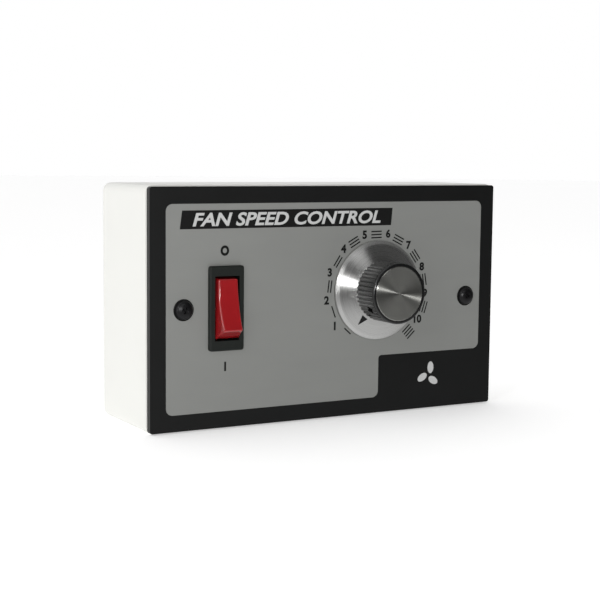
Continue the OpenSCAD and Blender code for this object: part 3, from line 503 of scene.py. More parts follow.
def knock_out(side, x, z):
    """The ring groove of a knock-out. side turns it from the floor to a wall."""
    groove = turned([(ENTRY_R - 1, -0.3), (ENTRY_R, -0.3), (ENTRY_R, GROOVE),
                     (ENTRY_R - 1, GROOVE)], ring=True)
    rotate(groove, *side)
    move(groove, x, -BOX_D / 2, z)
    return groove


inner_x, inner_z = BOX_W / 2 - WALL, BOX_H / 2 - WALL
grooves = [knock_out(UP, x, inner_z) for x in (SWITCH_X, -SWITCH_X)]
grooves += [knock_out(DOWN, x, -inner_z) for x in (SWITCH_X, -SWITCH_X)]
grooves += [knock_out(RIGHT, inner_x, -BOX_H / 4), knock_out(LEFT, -inner_x, -BOX_H / 4)]
slots = [slab(SLOT_LONG, SLOT_WIDE, -WALL - 0.5, 0.5, SLOT_WIDE / 2 - 0.001, x, z, segments=10)
         for x in (-SLOT_X, SLOT_X) for z in (-SLOT_Z, SLOT_Z)]
pillars = [rod(PILLAR_R, IN_WALL, BOX_D, x=s * SCREW_X) for s in (-1, 1)]
for s in (-1, 1):
    near, far = sorted((s * SCREW_X, s * (BOX_W / 2 - IN_WALL)))
    pillars.append(block(near, far, 2 - BOX_D, -IN_WALL, -1, 1))
pillars.append(rod(EARTH_PILLAR_R, IN_WALL, -high("earth_block", "y"), 40, x=EARTH_X, z=EARTH_Z))
insert_r, seat = reach("box_inserts", "z") / 2 + 0.05, BOX_D - reach("box_inserts", "y")
bores = [turned([(0, BOX_D + 1), (insert_r, BOX_D + 1), (insert_r, seat), (SCREW_WAY_R, seat),
                 (SCREW_WAY_R, BOX_D - SCREW_WAY), (0, BOX_D - SCREW_WAY)], 32, x=s * SCREW_X)
         for s in (-1, 1)]
entry = rod(ENTRY_R, -0.5, WALL + 0.5, 96, x=SWITCH_X, z=ENTRY_Z)
wall_box = carve("wall_box_shell", tray, joins=pillars, cuts=slots + grooves + bores + [entry],
                 material=white_moulding)


def near_hole(edge):
    return all(abs(vert.co.y) < 0.0001 for vert in edge.verts)


print("softened", chamfer(wall_box, 0.25, near_hole), "edges round the openings")
settle(wall_box, "wall_box")

# %% [markdown]
# The front plate is a 2.5 mm sheet of painted metal. Its corners are rounded 1 mm and its edges
# are broken by the paint, which is what lets a thin highlight run round it. The cut-outs for the
# switch, the potentiometer and the screws are cut before the edges are softened, so every opening
# gets one.

# %% Front plate
PLATE_W, PLATE_H = reach("front_plate", "x"), reach("front_plate", "z")
BODY_W, BODY_H = 11.6, 28.2
BUSHING_R, SCREW_R, PILLAR_SCREW_R, TRIAC_SCREW_R, STUD_R = 5.1, 2.05, 1.55, 1.5, 2.05
BOARD_X = [low("circuit_board", "x") + 4, high("circuit_board", "x") - 4]
BOARD_Z = high("circuit_board", "z") - 4
BLIND = PLATE_BACK - 1.8


def drill(radius, y0, y1, x=0.0, z=0.0, steps=40):
    """A round cutter along Y between two depths."""
    return rod(radius, -y1, -y0, steps, x=x, z=z)


def switch_cut(y0, y1):
    return block(SWITCH_X - BODY_W / 2 - 0.1, SWITCH_X + BODY_W / 2 + 0.1, y0, y1,
                 -BODY_H / 2 - 0.1, BODY_H / 2 + 0.1)


through = (PLATE_FRONT - 1, PLATE_BACK + 1)
blind = (BLIND, PLATE_BACK + 1)
plate_cuts = [switch_cut(*through), drill(BUSHING_R, *through, KNOB_X, KNOB_Z, 64)]
plate_cuts += [drill(SCREW_R, *through, s * SCREW_X) for s in (-1, 1)]
plate_cuts += [drill(PILLAR_SCREW_R, *blind, x, s * BOARD_Z) for x in BOARD_X for s in (-1, 1)]
plate_cuts += [drill(radius, *blind, middle(node, "x"), middle(node, "z"))
               for radius, node in ((TRIAC_SCREW_R, "triac_screw"), (STUD_R, "earth_stud"))]
front_plate = carve("front_plate_sheet", slab(PLATE_W, PLATE_H, PLATE_FRONT, PLATE_BACK, 1),
                    cuts=plate_cuts, material=black_plate)
print("broke", chamfer(front_plate, 0.22), "edges of the plate")
settle(front_plate, "front_plate")

# %% [markdown]
# The silver panel is a thin printed sheet with one corner left free. Six corner points make its
# outline, which is pushed to a thickness. Then the upright edges are rounded: the five outer ones
# by 2.5 mm, and the inner one at the free corner by half of that. Bevel fills an inner corner as
# well as it rounds an outer one, which saves drawing any arcs.

# %% Silver panel
PANEL_W, PANEL_H = reach("face_label", "x"), reach("face_label", "z")
FREE_W, FREE_H = 46.5, 16.0
OUTER_CORNER, INNER_CORNER = 2.5, 1.25
panel_silver = finish("panel_silver", (0.275, 0.28, 0.268), 0.45, 0.45, grain=0.3, shade=0.05,
                      swing=0.06, relief=0.004, stretch=(0.25, 1, 1))


def outline(points, y0, y1):
    """A flat outline of (x, z) points, pushed from one depth to another."""
    bm = bmesh.new()
    face = bm.faces.new([bm.verts.new((x * MM, y0 * MM, z * MM)) for x, z in points])
    push(bm, [face], y=y1 - y0)
    return bm


def is_inner(edge):
    place = edge.verts[0].co / MM
    return abs(place.x - free_x) < 0.1 and abs(place.z - free_z) < 0.1


half_w, half_h = PANEL_W / 2, PANEL_H / 2
free_x, free_z = half_w - FREE_W, FREE_H - half_h
panel_bm = outline([(-half_w, -half_h), (free_x, -half_h), (free_x, free_z), (half_w, free_z),
                    (half_w, half_h), (-half_w, half_h)], PANEL_FRONT, PLATE_FRONT)
upright = [edge for edge in panel_bm.edges if along(edge, "y")]
outer = [edge for edge in upright if not is_inner(edge)]
inner = [edge for edge in upright if is_inner(edge)]
for edges, radius in ((outer, OUTER_CORNER), (inner, INNER_CORNER)):
    round_off(panel_bm, [edge for edge in edges if edge.is_valid], radius, 8)
KNOB_HOLE_R, HEAD_HOLE_R = 9, 3.9
through = (PANEL_FRONT - 1, PLATE_FRONT + 1)
panel_cuts = [switch_cut(*through), drill(KNOB_HOLE_R, *through, KNOB_X, KNOB_Z, 96)]
panel_cuts += [drill(HEAD_HOLE_R, *through, s * SCREW_X, steps=64) for s in (-1, 1)]
panel = carve("silver_panel", panel_bm, cuts=panel_cuts, material=panel_silver)
settle(panel, "face_label")

# %% [markdown]
# The print on the panel is real ink here, a few hundredths of a millimetre thick, so it casts no
# shadow but has edges of its own. Letters come from a text object, which is made a mesh before it
# is put in place. The title stays generic, and the dial has its ten numbers with strokes between
# them that grow in number as the fan speeds up.

# %% Ink and lettering
INK = 0.03
ink_black = finish("ink_black", (0.005, 0.005, 0.005), 0.45, grain=0.3, shade=0.2, relief=0.002,
                   Specular_IOR_Level=0.2)
ink_silver = finish("ink_silver", (0.55, 0.555, 0.55), 0.5, 0.3, grain=0.3, shade=0.05,
                    relief=0.003)


def lettering(bm, words, x, z, tall, wide=None, lean=0.0, weight=0.0, level=0):
    """Adds words to a bmesh, centred on (x, z) and scaled to a height and, if given, a width."""
    curve = bpy.data.curves.new("words", "FONT")
    curve.body, curve.size, curve.shear, curve.offset = words, 1.0, lean, weight
    curve.align_x, curve.align_y, curve.extrude, curve.resolution_u = "CENTER", "CENTER", 0.01, 4
    holder = placed("words", curve)
    mesh = final_mesh(holder)
    bpy.data.objects.remove(holder)
    spots = [vert.co.copy() for vert in mesh.vertices]
    lo = [min(spot[i] for spot in spots) for i in range(3)]
    hi = [max(spot[i] for spot in spots) for i in range(3)]
    grow = tall / (hi[1] - lo[1])
    across = wide / (hi[0] - lo[0]) if wide else grow
    centred = Matrix.Translation([-(lo[0] + hi[0]) / 2, -(lo[1] + hi[1]) / 2, -lo[2]])
    size = Matrix.Diagonal((across * MM, grow * MM, INK * MM / (hi[2] - lo[2]), 1))
    stand = Matrix.Rotation(math.pi / 2, 4, "X")
    place = Matrix.Translation(Vector((x, PANEL_FRONT - level * INK, z)) * MM)
    mesh.transform(place @ stand @ size @ centred)
    bm.from_mesh(mesh)
    bpy.data.meshes.remove(mesh)


# %% Title bar, numbers, strokes and switch marks
TITLE_BAR = [(-61.8, 28.2), (25.2, 28.2), (25.8, 34.7), (-60.9, 34.7)]
DIAL_Z, DIAL_R, FIRST, STEP = KNOB_Z - 0.37, 22.0, -124.15, 27.3
NUMBER_TALL, STROKE_R, ROW, STROKE_THICK = 3.2, 20.1, 1.15, 0.5
OFF_X, OFF_Z, OFF_TALL, OFF_WIDE = -44.4, 20.4, 3.7, 3.4
black_print = outline(TITLE_BAR, PANEL_FRONT - INK, PANEL_FRONT)


def on_dial(angle, radius):
    """A place on the dial. Angles are in degrees from the top, clockwise."""
    way = math.radians(angle)
    return KNOB_X + radius * math.sin(way), DIAL_Z + radius * math.cos(way)


def strokes(bm, angle, count, long=4.6, inner=STROKE_R):
    """Short bars across the dial at one angle, row on row outwards."""
    for row in range(count):
        made = bmesh.ops.create_cube(bm, size=1)["verts"]
        bmesh.ops.scale(bm, verts=made, vec=(long * MM, INK * MM, STROKE_THICK * MM))
        rotate(bm, "Y", angle, made)
        x, z = on_dial(angle, inner + row * ROW)
        move(bm, x, PANEL_FRONT - INK / 2, z, made)


for number in range(1, 11):
    x, z = on_dial(FIRST + STEP * (number - 1), DIAL_R)
    lettering(black_print, str(number), x, z, NUMBER_TALL, weight=0.045)
for gap, count in enumerate((1, 2, 2, 3, 3, 3, 3, 3, 4)):
    strokes(black_print, FIRST + STEP * (gap + 0.5), count)
strokes(black_print, -139, 1, long=3.6, inner=19.3)
strokes(black_print, 137.9, 4, long=4.4)
lettering(black_print, "O", OFF_X, OFF_Z, OFF_TALL, OFF_WIDE, weight=0.06)
block(-44.5, -43.75, PANEL_FRONT - INK, PANEL_FRONT, -22.6, -19.2, black_print)
settle(object_of("black_print", black_print, ink_black), "face_label")

# %% Silver letters on the bar, and a small fan on the free corner
TITLE_X, TITLE_Z, TITLE_TALL, TITLE_WIDE = -18.2, 31.45, 4.8, 77.5
SIGN_X, SIGN_Z, SIGN_R = 43.8, -30.2, 5.2
silver_print = bmesh.new()
lettering(silver_print, "FAN SPEED CONTROL", TITLE_X, TITLE_Z, TITLE_TALL, TITLE_WIDE, lean=0.25,
          weight=0.028, level=1)


def fan_sign(radius):
    """Three leaf-shaped blades round a hub, the usual sign for a fan."""
    bm = bmesh.new()
    for angle in (0, 120, 240):
        blade = bmesh.ops.create_circle(bm, cap_ends=True, segments=28,
                                        radius=radius * 0.33 * MM)["verts"]
        bmesh.ops.scale(bm, verts=blade, vec=(0.8, 1.35, 1))
        move(bm, radius * 0.16, radius * 0.56, 0, blade)
        rotate(bm, "Z", angle, blade)
    push(bm, list(bm.faces), z=INK)
    rotate(bm, "X", 90)
    move(bm, SIGN_X, PLATE_FRONT, SIGN_Z)
    mesh = bpy.data.meshes.new("sign")
    bm.to_mesh(mesh)
    bm.free()
    return mesh


sign = fan_sign(SIGN_R)
silver_print.from_mesh(sign)
bpy.data.meshes.remove(sign)
settle(object_of("silver_print", silver_print, ink_silver), "face_label")

# %% [markdown]
# Two black machine screws hold the plate to the box. Each is turned from one outline, with a domed
# pan head and a shank whose thread is a row of rings. The cross recess is cut with two crossed
# blocks that narrow towards the bottom.

# %% Plate screws
screw_black = finish("screw_black", (0.012, 0.012, 0.013), 0.3, 0.6, grain=0.25, shade=0.3,
                     swing=0.1, relief=0.01)
SHANK_R, SCREW_LEN = 1.75, 20


def pan_head(radius, tall, shank, length, pitch=0.7):
    """Half the outline of a screw, from the top of its head to its tip."""
    dome = [(0, tall), (radius * 0.35, tall * 0.985), (radius * 0.62, tall * 0.92),
            (radius * 0.82, tall * 0.78), (radius * 0.94, tall * 0.55), (radius, tall * 0.25),
            (radius, 0)]
    thread = []
    count = int((length - 1) / pitch)
    for index in range(count):
        down = -1 - index * pitch
        thread += [(shank - 0.25, down), (shank, down - pitch * 0.4), (shank, down - pitch * 0.6)]
    return dome + [(shank, 0), (shank, -0.8)] + thread + [(shank - 0.3, -length), (0, -length)]


def cross_cut(radius, tall, x, angle):
    """Two crossed blocks that narrow inwards, apart because a cutter must not cross itself."""
    blades = []
    for quarter in (0, 90):
        bm = bmesh.new()
        made = bmesh.ops.create_cube(bm, size=1)["verts"]
        bmesh.ops.scale(bm, verts=made, vec=(radius * 1.15 * MM, 1.5 * MM, radius * 0.26 * MM))
        move(bm, y=-(tall + 0.05))
        bottom = [vert for vert in made if vert.co.y > -(tall + 0.05) * MM]
        bmesh.ops.scale(bm, verts=bottom, vec=(0.35, 1, 0.6))
        rotate(bm, "Y", quarter + angle)
        move(bm, x, PLATE_FRONT)
        blades.append(bm)
    return blades


HEAD_R, HEAD_T = reach("plate_screws", "z") / 2, PLATE_FRONT - low("plate_screws", "y")
for side, x, angle in (("left", -SCREW_X, 20), ("right", SCREW_X, 52)):
    screw = carve(f"plate_screw_{side}",
                  turned(pan_head(HEAD_R, HEAD_T, SHANK_R, SCREW_LEN), 40, x=x, y=PLATE_FRONT),
                  cuts=cross_cut(HEAD_R, HEAD_T, x, angle), material=screw_black)
    settle(screw, "plate_screws", corner=38)

# %% [markdown]
# The rocker's housing is a moulded shell that snaps into the plate: a rounded frame in front, a
# body with two barbs behind, and a well that the rocker tilts in. The frame's front edges are
# rounded before the well is cut, so the well keeps a crisp edge, as the real one does.

# %% Switch housing
housing_black = finish("housing_black", (0.006, 0.0085, 0.0068), 0.5, grain=0.22, shade=0.15,
                       swing=0.08, relief=0.012, Specular_IOR_Level=0.3)
BEZEL_W, BEZEL_H = reach("switch_housing", "x"), reach("switch_housing", "z")
BEZEL_FRONT, SWITCH_BACK = low("switch_housing", "y"), high("switch_housing", "y")
FLOOR_Y = SWITCH_BACK - 3
WELL_W, WELL_H, PIVOT_HOLE_R = 9.6, 23.0, 1.35
TAB_Z, TAB_W, TAB_T = (9, 0, -9), 4.9, 0.9
BARB_W, BARB_LEN, BARB_OUT = 5.0, 4.0, 0.9
frame_bm = slab(BEZEL_W, BEZEL_H, BEZEL_FRONT, PANEL_FRONT, 0.9, x=SWITCH_X, segments=5)
round_off(frame_bm, [edge for edge in frame_bm.edges if all(
    vert.co.y < (BEZEL_FRONT + 0.01) * MM for vert in edge.verts)], 0.45, 4)


def switch_block(wide, y0, y1, z0, z1):
    return block(SWITCH_X - wide / 2, SWITCH_X + wide / 2, y0, y1, z0, z1)


def barb(side):
    """A wedge above or below the body that snaps behind the plate."""
    bm = switch_block(BARB_W, PLATE_BACK + 0.2, PLATE_BACK + 0.2 + BARB_LEN,
                      side * (BODY_H / 2 - 0.5), side * (BODY_H / 2 + BARB_OUT))
    tip = [vert for vert in bm.verts if abs(vert.co.z) > (BODY_H / 2) * MM
           and vert.co.y > (PLATE_BACK + 1) * MM]
    move(bm, z=-side * 1.0, verts=tip)
    return bm


shell = switch_block(BODY_W, PANEL_FRONT - 0.3, SWITCH_BACK, -BODY_H / 2, BODY_H / 2)
well = switch_block(WELL_W, BEZEL_FRONT - 1, FLOOR_Y, -WELL_H / 2, WELL_H / 2)
pivot_hole = bar_x(PIVOT_HOLE_R, -8, 8, x=SWITCH_X, y=PIVOT_Y)
tab_slots = [switch_block(TAB_W, FLOOR_Y - 1, SWITCH_BACK + 1, z - TAB_T / 2, z + TAB_T / 2)
             for z in TAB_Z]
housing = carve("switch_frame", frame_bm, joins=[shell, barb(-1), barb(1)],
                cuts=[well, pivot_hole] + tab_slots, material=housing_black)
settle(housing, "switch_housing", corner=32)

# %% [markdown]
# The rocker is a hollow cap of clear red plastic with a lamp inside. Its face is a shallow arc
# between two ridges, so the arc is made by spinning one point, the outline is closed under it,
# filled and pushed to the rocker's width. The flanks lean in towards the face, as a moulding must
# to leave its mould. The ridges and the long edges are rounded, because they carry the bright
# lines that give a rocker its shape.

# %% Rocker: the moulding
ROCKER_W, FACE, RISE, SAG = 9.2, 9.15, 6.8, 1.2
BASE, BASE_RISE, DRAFT = 11.0, 1.6, 0.9
SKIN, PIN_R, PIN_END = 1.4, 1.3, 5.7
GUIDE_R, GUIDE_BORE_R, GUIDE_END = 2.2, 1.55, 5.5


def rocker_cap():
    bm = bmesh.new()
    bend = (FACE * FACE + SAG * SAG) / (2 * SAG)
    centre = Vector((0, -(RISE - SAG + bend), 0)) * MM
    start = bm.verts.new(Vector((0, -RISE, FACE)) * MM)
    bmesh.ops.spin(bm, geom=[start], cent=centre, axis=(1, 0, 0), angle=-2 * math.asin(FACE / bend),
                   steps=16)
    arc = sorted(bm.verts, key=lambda vert: -vert.co.z)
    under = [bm.verts.new(Vector((0, -rise, along_z)) * MM) for along_z, rise in
             [(-BASE, BASE_RISE), (-BASE, 0), (2 - BASE, -2.2), (BASE - 2, -2.2), (BASE, 0),
              (BASE, BASE_RISE)]]
    for edge in list(bm.edges):
        bm.edges.remove(edge)
    face = bm.faces.new(arc + under)
    push(bm, [face], x=ROCKER_W)
    move(bm, x=-ROCKER_W / 2)
    for vert in bm.verts:
        height = max(0, -vert.co.y / MM - BASE_RISE) / (RISE - BASE_RISE)
        vert.co.x *= 1 - height * DRAFT / (ROCKER_W / 2)
    bmesh.ops.recalc_face_normals(bm, faces=bm.faces)
    proud = [edge for edge in bm.edges if all(vert.co.y < -1.2 * MM for vert in edge.verts)
             and edge.calc_face_angle(0) > math.radians(25)]
    round_off(bm, proud, 0.55, 5)
    return bm


# %% Rocker: hollow, guide and pins
red_clear = finish("red_clear", (0.42, 0.012, 0.016), 0.12, grain=0.8, shade=0.05, swing=0.03,
                   relief=0.0015, Transmission_Weight=0.35, IOR=1.49, Coat_Weight=1.0,
                   Coat_Roughness=0.05)
ROOF = RISE - SAG - SKIN
PIN_START = ROCKER_W / 2 - 0.4
joins = [rod(GUIDE_R, -GUIDE_END, ROOF + 0.3, 40), bar_x(PIN_R, PIN_START, PIN_END),
         bar_x(PIN_R, -PIN_END, -PIN_START)]
hollow = block(1.2 - ROCKER_W / 2, ROCKER_W / 2 - 1.2, -ROOF, 3, 0.4 - FACE, FACE - 0.4)
hollowed = carve("rocker_hollowed", rocker_cap(), cuts=[hollow])
rocker_bm = bmesh.new()
rocker_bm.from_mesh(hollowed.data)
bpy.data.objects.remove(hollowed)
rocker = carve("rocker_cap", rocker_bm, joins=joins, cuts=[rod(GUIDE_BORE_R, -6, ROOF, 40)],
               material=red_clear)
rocker.data.transform(Matrix.Translation(Vector((SWITCH_X, PIVOT_Y, 0)) * MM)
                      @ Matrix.Rotation(ROCKER_TURN, 4, "X"))
settle(rocker, "rocker", body="rocker", corner=40)
print("rocker turned", round(math.degrees(ROCKER_TURN), 1), "degrees at rest")

# %% [markdown]
# The knob is a fluted black grip with a glossy ring in front. One flute is a short arc of a wave
# round the grip, so one flute is drawn, spun forty times as copies, joined up and pushed to
# length. The ring, the hub and the hollows for the nut and the bush are turned, and joined to it
# or cut from it.

# %% Knob: one flute, forty times
knob_black = finish("knob_black", (0.005, 0.0052, 0.0052), 0.2, grain=0.5, shade=0.2, swing=0.05,
                    relief=0.001, Specular_IOR_Level=0.6, Coat_Weight=0.2, Coat_Roughness=0.1)
KNOB_R, FLUTES, FLUTE_D = reach("knob_body", "x") / 2, 40, 0.5
KNOB_TOP, SKIRT_TOP, RIM = PLATE_FRONT - low("knob_body", "y"), 4.1, 1.2
CAP_R, CAP_T = reach("knob_cap", "x") / 2, reach("knob_cap", "y")
HUB_R, NUT_ROOM_R, NUT_ROOM_TOP, SET_SCREW_R, SET_SCREW_TURN = 9, 8.2, 5.4, 1.55, -124
on_axis = {"x": KNOB_X, "y": PLATE_FRONT, "z": KNOB_Z}


def fluted_grip(points_each=10):
    bm = bmesh.new()
    step = math.tau / FLUTES / points_each
    wave = []
    for index in range(points_each + 1):
        angle = index * step
        radius = KNOB_R - 0.02 - FLUTE_D * (1 - abs(math.cos(FLUTES * angle / 2)))
        wave.append(bm.verts.new((radius * math.cos(angle) * MM, -SKIRT_TOP * MM,
                                  radius * math.sin(angle) * MM)))
    line = [bm.edges.new(pair) for pair in zip(wave, wave[1:])]
    bmesh.ops.spin(bm, geom=wave + line, cent=(0, 0, 0), axis=(0, 1, 0), angle=math.tau,
                   steps=FLUTES, use_duplicate=True)
    bmesh.ops.remove_doubles(bm, verts=bm.verts, dist=MERGE)
    bmesh.ops.contextual_create(bm, geom=bm.edges)
    push(bm, list(bm.faces), y=-(KNOB_TOP - RIM - SKIRT_TOP + 0.1))
    move(bm, **on_axis)
    return bm


# %% Knob: ring, hub and hollows
ring_outline = [(KNOB_R, RIM), (0.25, RIM), (0, RIM - 0.2), (0, 0.5), (0.05, 0.3), (0.16, 0.13),
                (0.33, 0.03), (0.5, 0), (KNOB_R, 0)]   # steps in from the knob's side and top
ring_top = turned([(KNOB_R - inwards, KNOB_TOP - down) for inwards, down in ring_outline], 120,
                  **on_axis)
hub = rod(HUB_R, 1.2, SKIRT_TOP + 0.1, 96, **on_axis)
cap_seat = rod(CAP_R + 0.05, KNOB_TOP - CAP_T, KNOB_TOP + 1, 120, **on_axis)
nut_room = rod(NUT_ROOM_R, 0.5, NUT_ROOM_TOP, 96, **on_axis)
bush_room = rod(reach("knob_bush", "x") / 2 + 0.05, 5, KNOB_TOP - 1.8, 64, **on_axis)
screw_way = rod(SET_SCREW_R, -(KNOB_R + 1), -3.5, 32)
rotate(screw_way, "X", 90)
rotate(screw_way, "Y", SET_SCREW_TURN)
move(screw_way, KNOB_X, middle("knob_set_screw", "y"), KNOB_Z)
grip = carve("knob_grip", fluted_grip(), joins=[ring_top, hub],
             cuts=[cap_seat, nut_room, bush_room, screw_way], material=knob_black)
settle(grip, "knob_body", body="knob", corner=28)

# %% [markdown]
# Spun metal is the look of this knob. A tool has run round it and left rings finer than the eye
# can part, so a light is drawn out into a fan of bright and dark sectors. Two things give that
# here: the highlight is stretched across the rings, with a tangent that runs round the axis, and a
# noise read by radius alone raises rings and varies the roughness from ring to ring.

# %% Spun metal


def spun(name, colour, rough, stretch, ring=0.12, depth=0.004):
    """Metal with rings about the knob's axis. ring and depth are their width and height in mm."""
    mat, shader = blank(name, colour, rough, 1.0, Anisotropic=stretch, Anisotropic_Rotation=0.25)
    place = add(mat, "TexCoord")
    centre = add(mat, "Mapping", {"Location": (-KNOB_X * MM, 0, -KNOB_Z * MM)})
    flat = add(mat, "VectorMath", {1: (1, 0, 1)}, operation="MULTIPLY")
    radius = add(mat, "VectorMath", operation="LENGTH")
    line = add(mat, "CombineXYZ")
    rings = add(mat, "TexNoise", {"Scale": 1 / (ring * MM), "Detail": 4.0, "Roughness": 0.7})
    bands = add(mat, "TexNoise", {"Scale": 1 / (1.6 * MM), "Detail": 2.0})
    round_about = add(mat, "Tangent", direction_type="RADIAL", axis="Y")
    join(mat, (place, "Object", centre, "Vector"), (centre, "Vector", flat, 0),
         (flat, "Vector", radius, 0), (radius, "Value", line, "X"),
         (line, "Vector", rings, "Vector"), (line, "Vector", bands, "Vector"),
         (round_about, "Tangent", shader, "Tangent"))
    two_tones(mat, shader, bands, tone(colour, 0.86), tone(colour, 1.08))
    polish(mat, shader, rings, rough - 0.07, rough + 0.07)
    emboss(mat, shader, rings, "Fac", depth, strength=0.4)
    return mat


spun_skirt = spun("spun_skirt", (0.62, 0.62, 0.61), 0.28, stretch=0.95)
spun_cap = spun("spun_cap", (0.50, 0.50, 0.47), 0.22, stretch=1.0, ring=0.09)
print("spun finishes:", spun_skirt.name, spun_cap.name)

# %% [markdown]
# The skirt is one thin pressing: a shallow cone, a steep shoulder and a short upright rim with a
# rolled edge. Its section is a closed outline, spun once. The cap is a disc with a broken edge
# that drops into the ring.

# %% Skirt and cap
SKIRT_R = reach("knob_skirt", "x") / 2
CONE_IN, CONE_OUT, SHOULDER = KNOB_R + 0.3, SKIRT_R - 1.45, 2.18
skirt_outline = [
    (9.05, SKIRT_TOP), (CONE_IN, SKIRT_TOP), (CONE_OUT, SHOULDER), (SKIRT_R - 1.15, 2.05),
    (SKIRT_R - 0.22, 1.34), (SKIRT_R - 0.06, 1.2), (SKIRT_R, 1.02), (SKIRT_R, 0.66),
    (SKIRT_R - 0.08, 0.6), (SKIRT_R - 0.62, 0.6), (SKIRT_R - 0.7, 0.68), (SKIRT_R - 1.4, 1.4),
    (KNOB_R, 3.4), (9.05, 3.4)]
cap_outline = [
    (0, KNOB_TOP - CAP_T), (CAP_R, KNOB_TOP - CAP_T), (CAP_R, KNOB_TOP - 0.22),
    (CAP_R - 0.07, KNOB_TOP - 0.07), (CAP_R - 0.22, KNOB_TOP), (0, KNOB_TOP)]
skirt = turned(skirt_outline, 160, ring=True, **on_axis)
settle(object_of("knob_skirt_pressing", skirt, spun_skirt), "knob_skirt", body="knob", corner=20)
cap = turned(cap_outline, 120, **on_axis)
settle(object_of("knob_cap_disc", cap, spun_cap), "knob_cap", body="knob", corner=20)

# %% Pointer
POINTER_TURN, POINTER_IN, POINTER_OUT = -142.5, 12.1, 15.6
POINTER_HALF, POINTER_TIP, POINTER_T = 1.35, 0.12, 0.06


def pointer():
    """A small wedge that lies on the skirt's cone and points outwards."""
    bm = bmesh.new()
    corners = [(-POINTER_HALF, POINTER_IN), (POINTER_HALF, POINTER_IN), (POINTER_TIP, POINTER_OUT),
               (-POINTER_TIP, POINTER_OUT)]
    fall = (SKIRT_TOP - SHOULDER) / (CONE_OUT - CONE_IN)
    face = bm.faces.new([bm.verts.new(Vector((x, (r - CONE_IN) * fall - SKIRT_TOP, r)) * MM)
                         for x, r in corners])
    push(bm, [face], y=-POINTER_T)
    rotate(bm, "Y", POINTER_TURN)
    move(bm, **on_axis)
    return bm


settle(object_of("knob_pointer", pointer(), ink_black), "knob_body", body="knob")

# %% [markdown]
# The parts inside keep the shape that the frame gave them, and need only their finishes. Plain
# metals and plastics share the common finish with their own grain. Scratches and plating follow
# the way a part was made, so turned screws are stretched round and drawn wire is stretched along.

# %% Finishes of the parts inside
METAL = {"metal": 1.0, "swing": 0.1, "relief": 0.006}
inside = {"black_steel": screw_black}
for slot, name, colour, rough, grain, shade, more in (
        ("brass", "brass_turned", (0.62, 0.42, 0.16), 0.3, 0.25, 0.12,
         {**METAL, "stretch": (1, 4, 1)}),
        ("plated_steel", "zinc_plate", (0.56, 0.57, 0.57), 0.32, 0.3, 0.1,
         {**METAL, "stretch": (1, 5, 1)}),
        ("pot_can", "drawn_can", (0.50, 0.50, 0.48), 0.38, 0.5, 0.12,
         {**METAL, "relief": 0.01, "stretch": (1, 0.3, 1)}),
        ("tinned_brass", "tin_plate", (0.66, 0.64, 0.58), 0.36, 0.2, 0.14, METAL),
        ("spring_steel", "spring_wire", (0.45, 0.45, 0.46), 0.28, 0.15, 0.1,
         {"metal": 1.0, "relief": 0.004}),
        ("nickel_tab", "nickel_tab", (0.60, 0.59, 0.55), 0.3, 0.35, 0.1,
         {**METAL, "stretch": (1, 1, 0.2)}),
        ("nylon", "natural_nylon", (0.78, 0.75, 0.66), 0.4, 0.4, 0.05,
         {"relief": 0.008, "Subsurface_Weight": 0.15, "Subsurface_Scale": 0.001}),
        ("carbon_ring", "phenolic_sheet", (0.19, 0.085, 0.04), 0.5, 0.3, 0.3, {"relief": 0.015}),
        ("epoxy_black", "moulded_epoxy", (0.018, 0.018, 0.019), 0.6, 0.12, 0.2, {}),
        ("silicone_pad", "silicone_pad", (0.34, 0.36, 0.38), 0.75, 0.2, 0.1, {"relief": 0.01}),
        ("iron_powder", "coated_iron", (0.72, 0.60, 0.10), 0.5, 0.3, 0.12, {"relief": 0.03}),
        ("yellow_case", "yellow_case", (0.78, 0.50, 0.03), 0.4, 0.3, 0.06, {"relief": 0.01}),
        ("red_dip", "dipped_lacquer", (0.36, 0.05, 0.025), 0.22, 1.2, 0.1,
         {"relief": 0.06, "Coat_Weight": 0.3, "Coat_Roughness": 0.1}),
        ("blue_moulding", "blue_moulding", (0.015, 0.09, 0.42), 0.4, 0.25, 0.08, {"relief": 0.008}),
        ("green_moulding", "green_moulding", (0.03, 0.24, 0.13), 0.42, 0.25, 0.06,
         {"relief": 0.01}),
        ("red_insulation", "red_sleeve", (0.50, 0.022, 0.03), 0.35, 0.3, 0.08, {"relief": 0.008})):
    inside[slot] = finish(name, colour, rough, grain=grain, shade=shade, **more)
print(len(inside), "plain finishes for the inside")

# %% [markdown]
# Four finishes need a pattern of their own. Enamelled wire is amber over copper, and a thin coat
# gives its gloss. The board is green resist over tracks, so a cell pattern with straight sides
# draws the tracks and lifts them a little. A resistor carries colour bands across its length. The
# earth lead has a yellow stripe that winds along green insulation. Drawn glass is clear, with a
# faint ripple that bends what shows through it.

# %% Enamelled wire and leads


def insulation(name, colour, stripe=None):
    mat = finish(name, colour, 0.38, grain=0.35, shade=0.08, swing=0.08, relief=0.01)
    if stripe:
        shader = mat.node_tree.nodes["Principled BSDF"]
        place = add(mat, "TexCoord")
        slant = add(mat, "Mapping", {"Rotation": (0.6, 0.4, 0.7)})
        wave = add(mat, "TexWave", {"Scale": 95.0}, bands_direction="X")
        edge = add(mat, "ValToRGB")
        edge.color_ramp.interpolation = "CONSTANT"
        first, second = edge.color_ramp.elements
        first.color, second.color, second.position = tone(colour), tone(stripe), 0.62
        join(mat, (place, "Object", slant, "Vector"), (slant, "Vector", wave, "Vector"),
             (wave, "Fac", edge, "Fac"), (edge, "Color", shader, "Base Color"))
    return mat


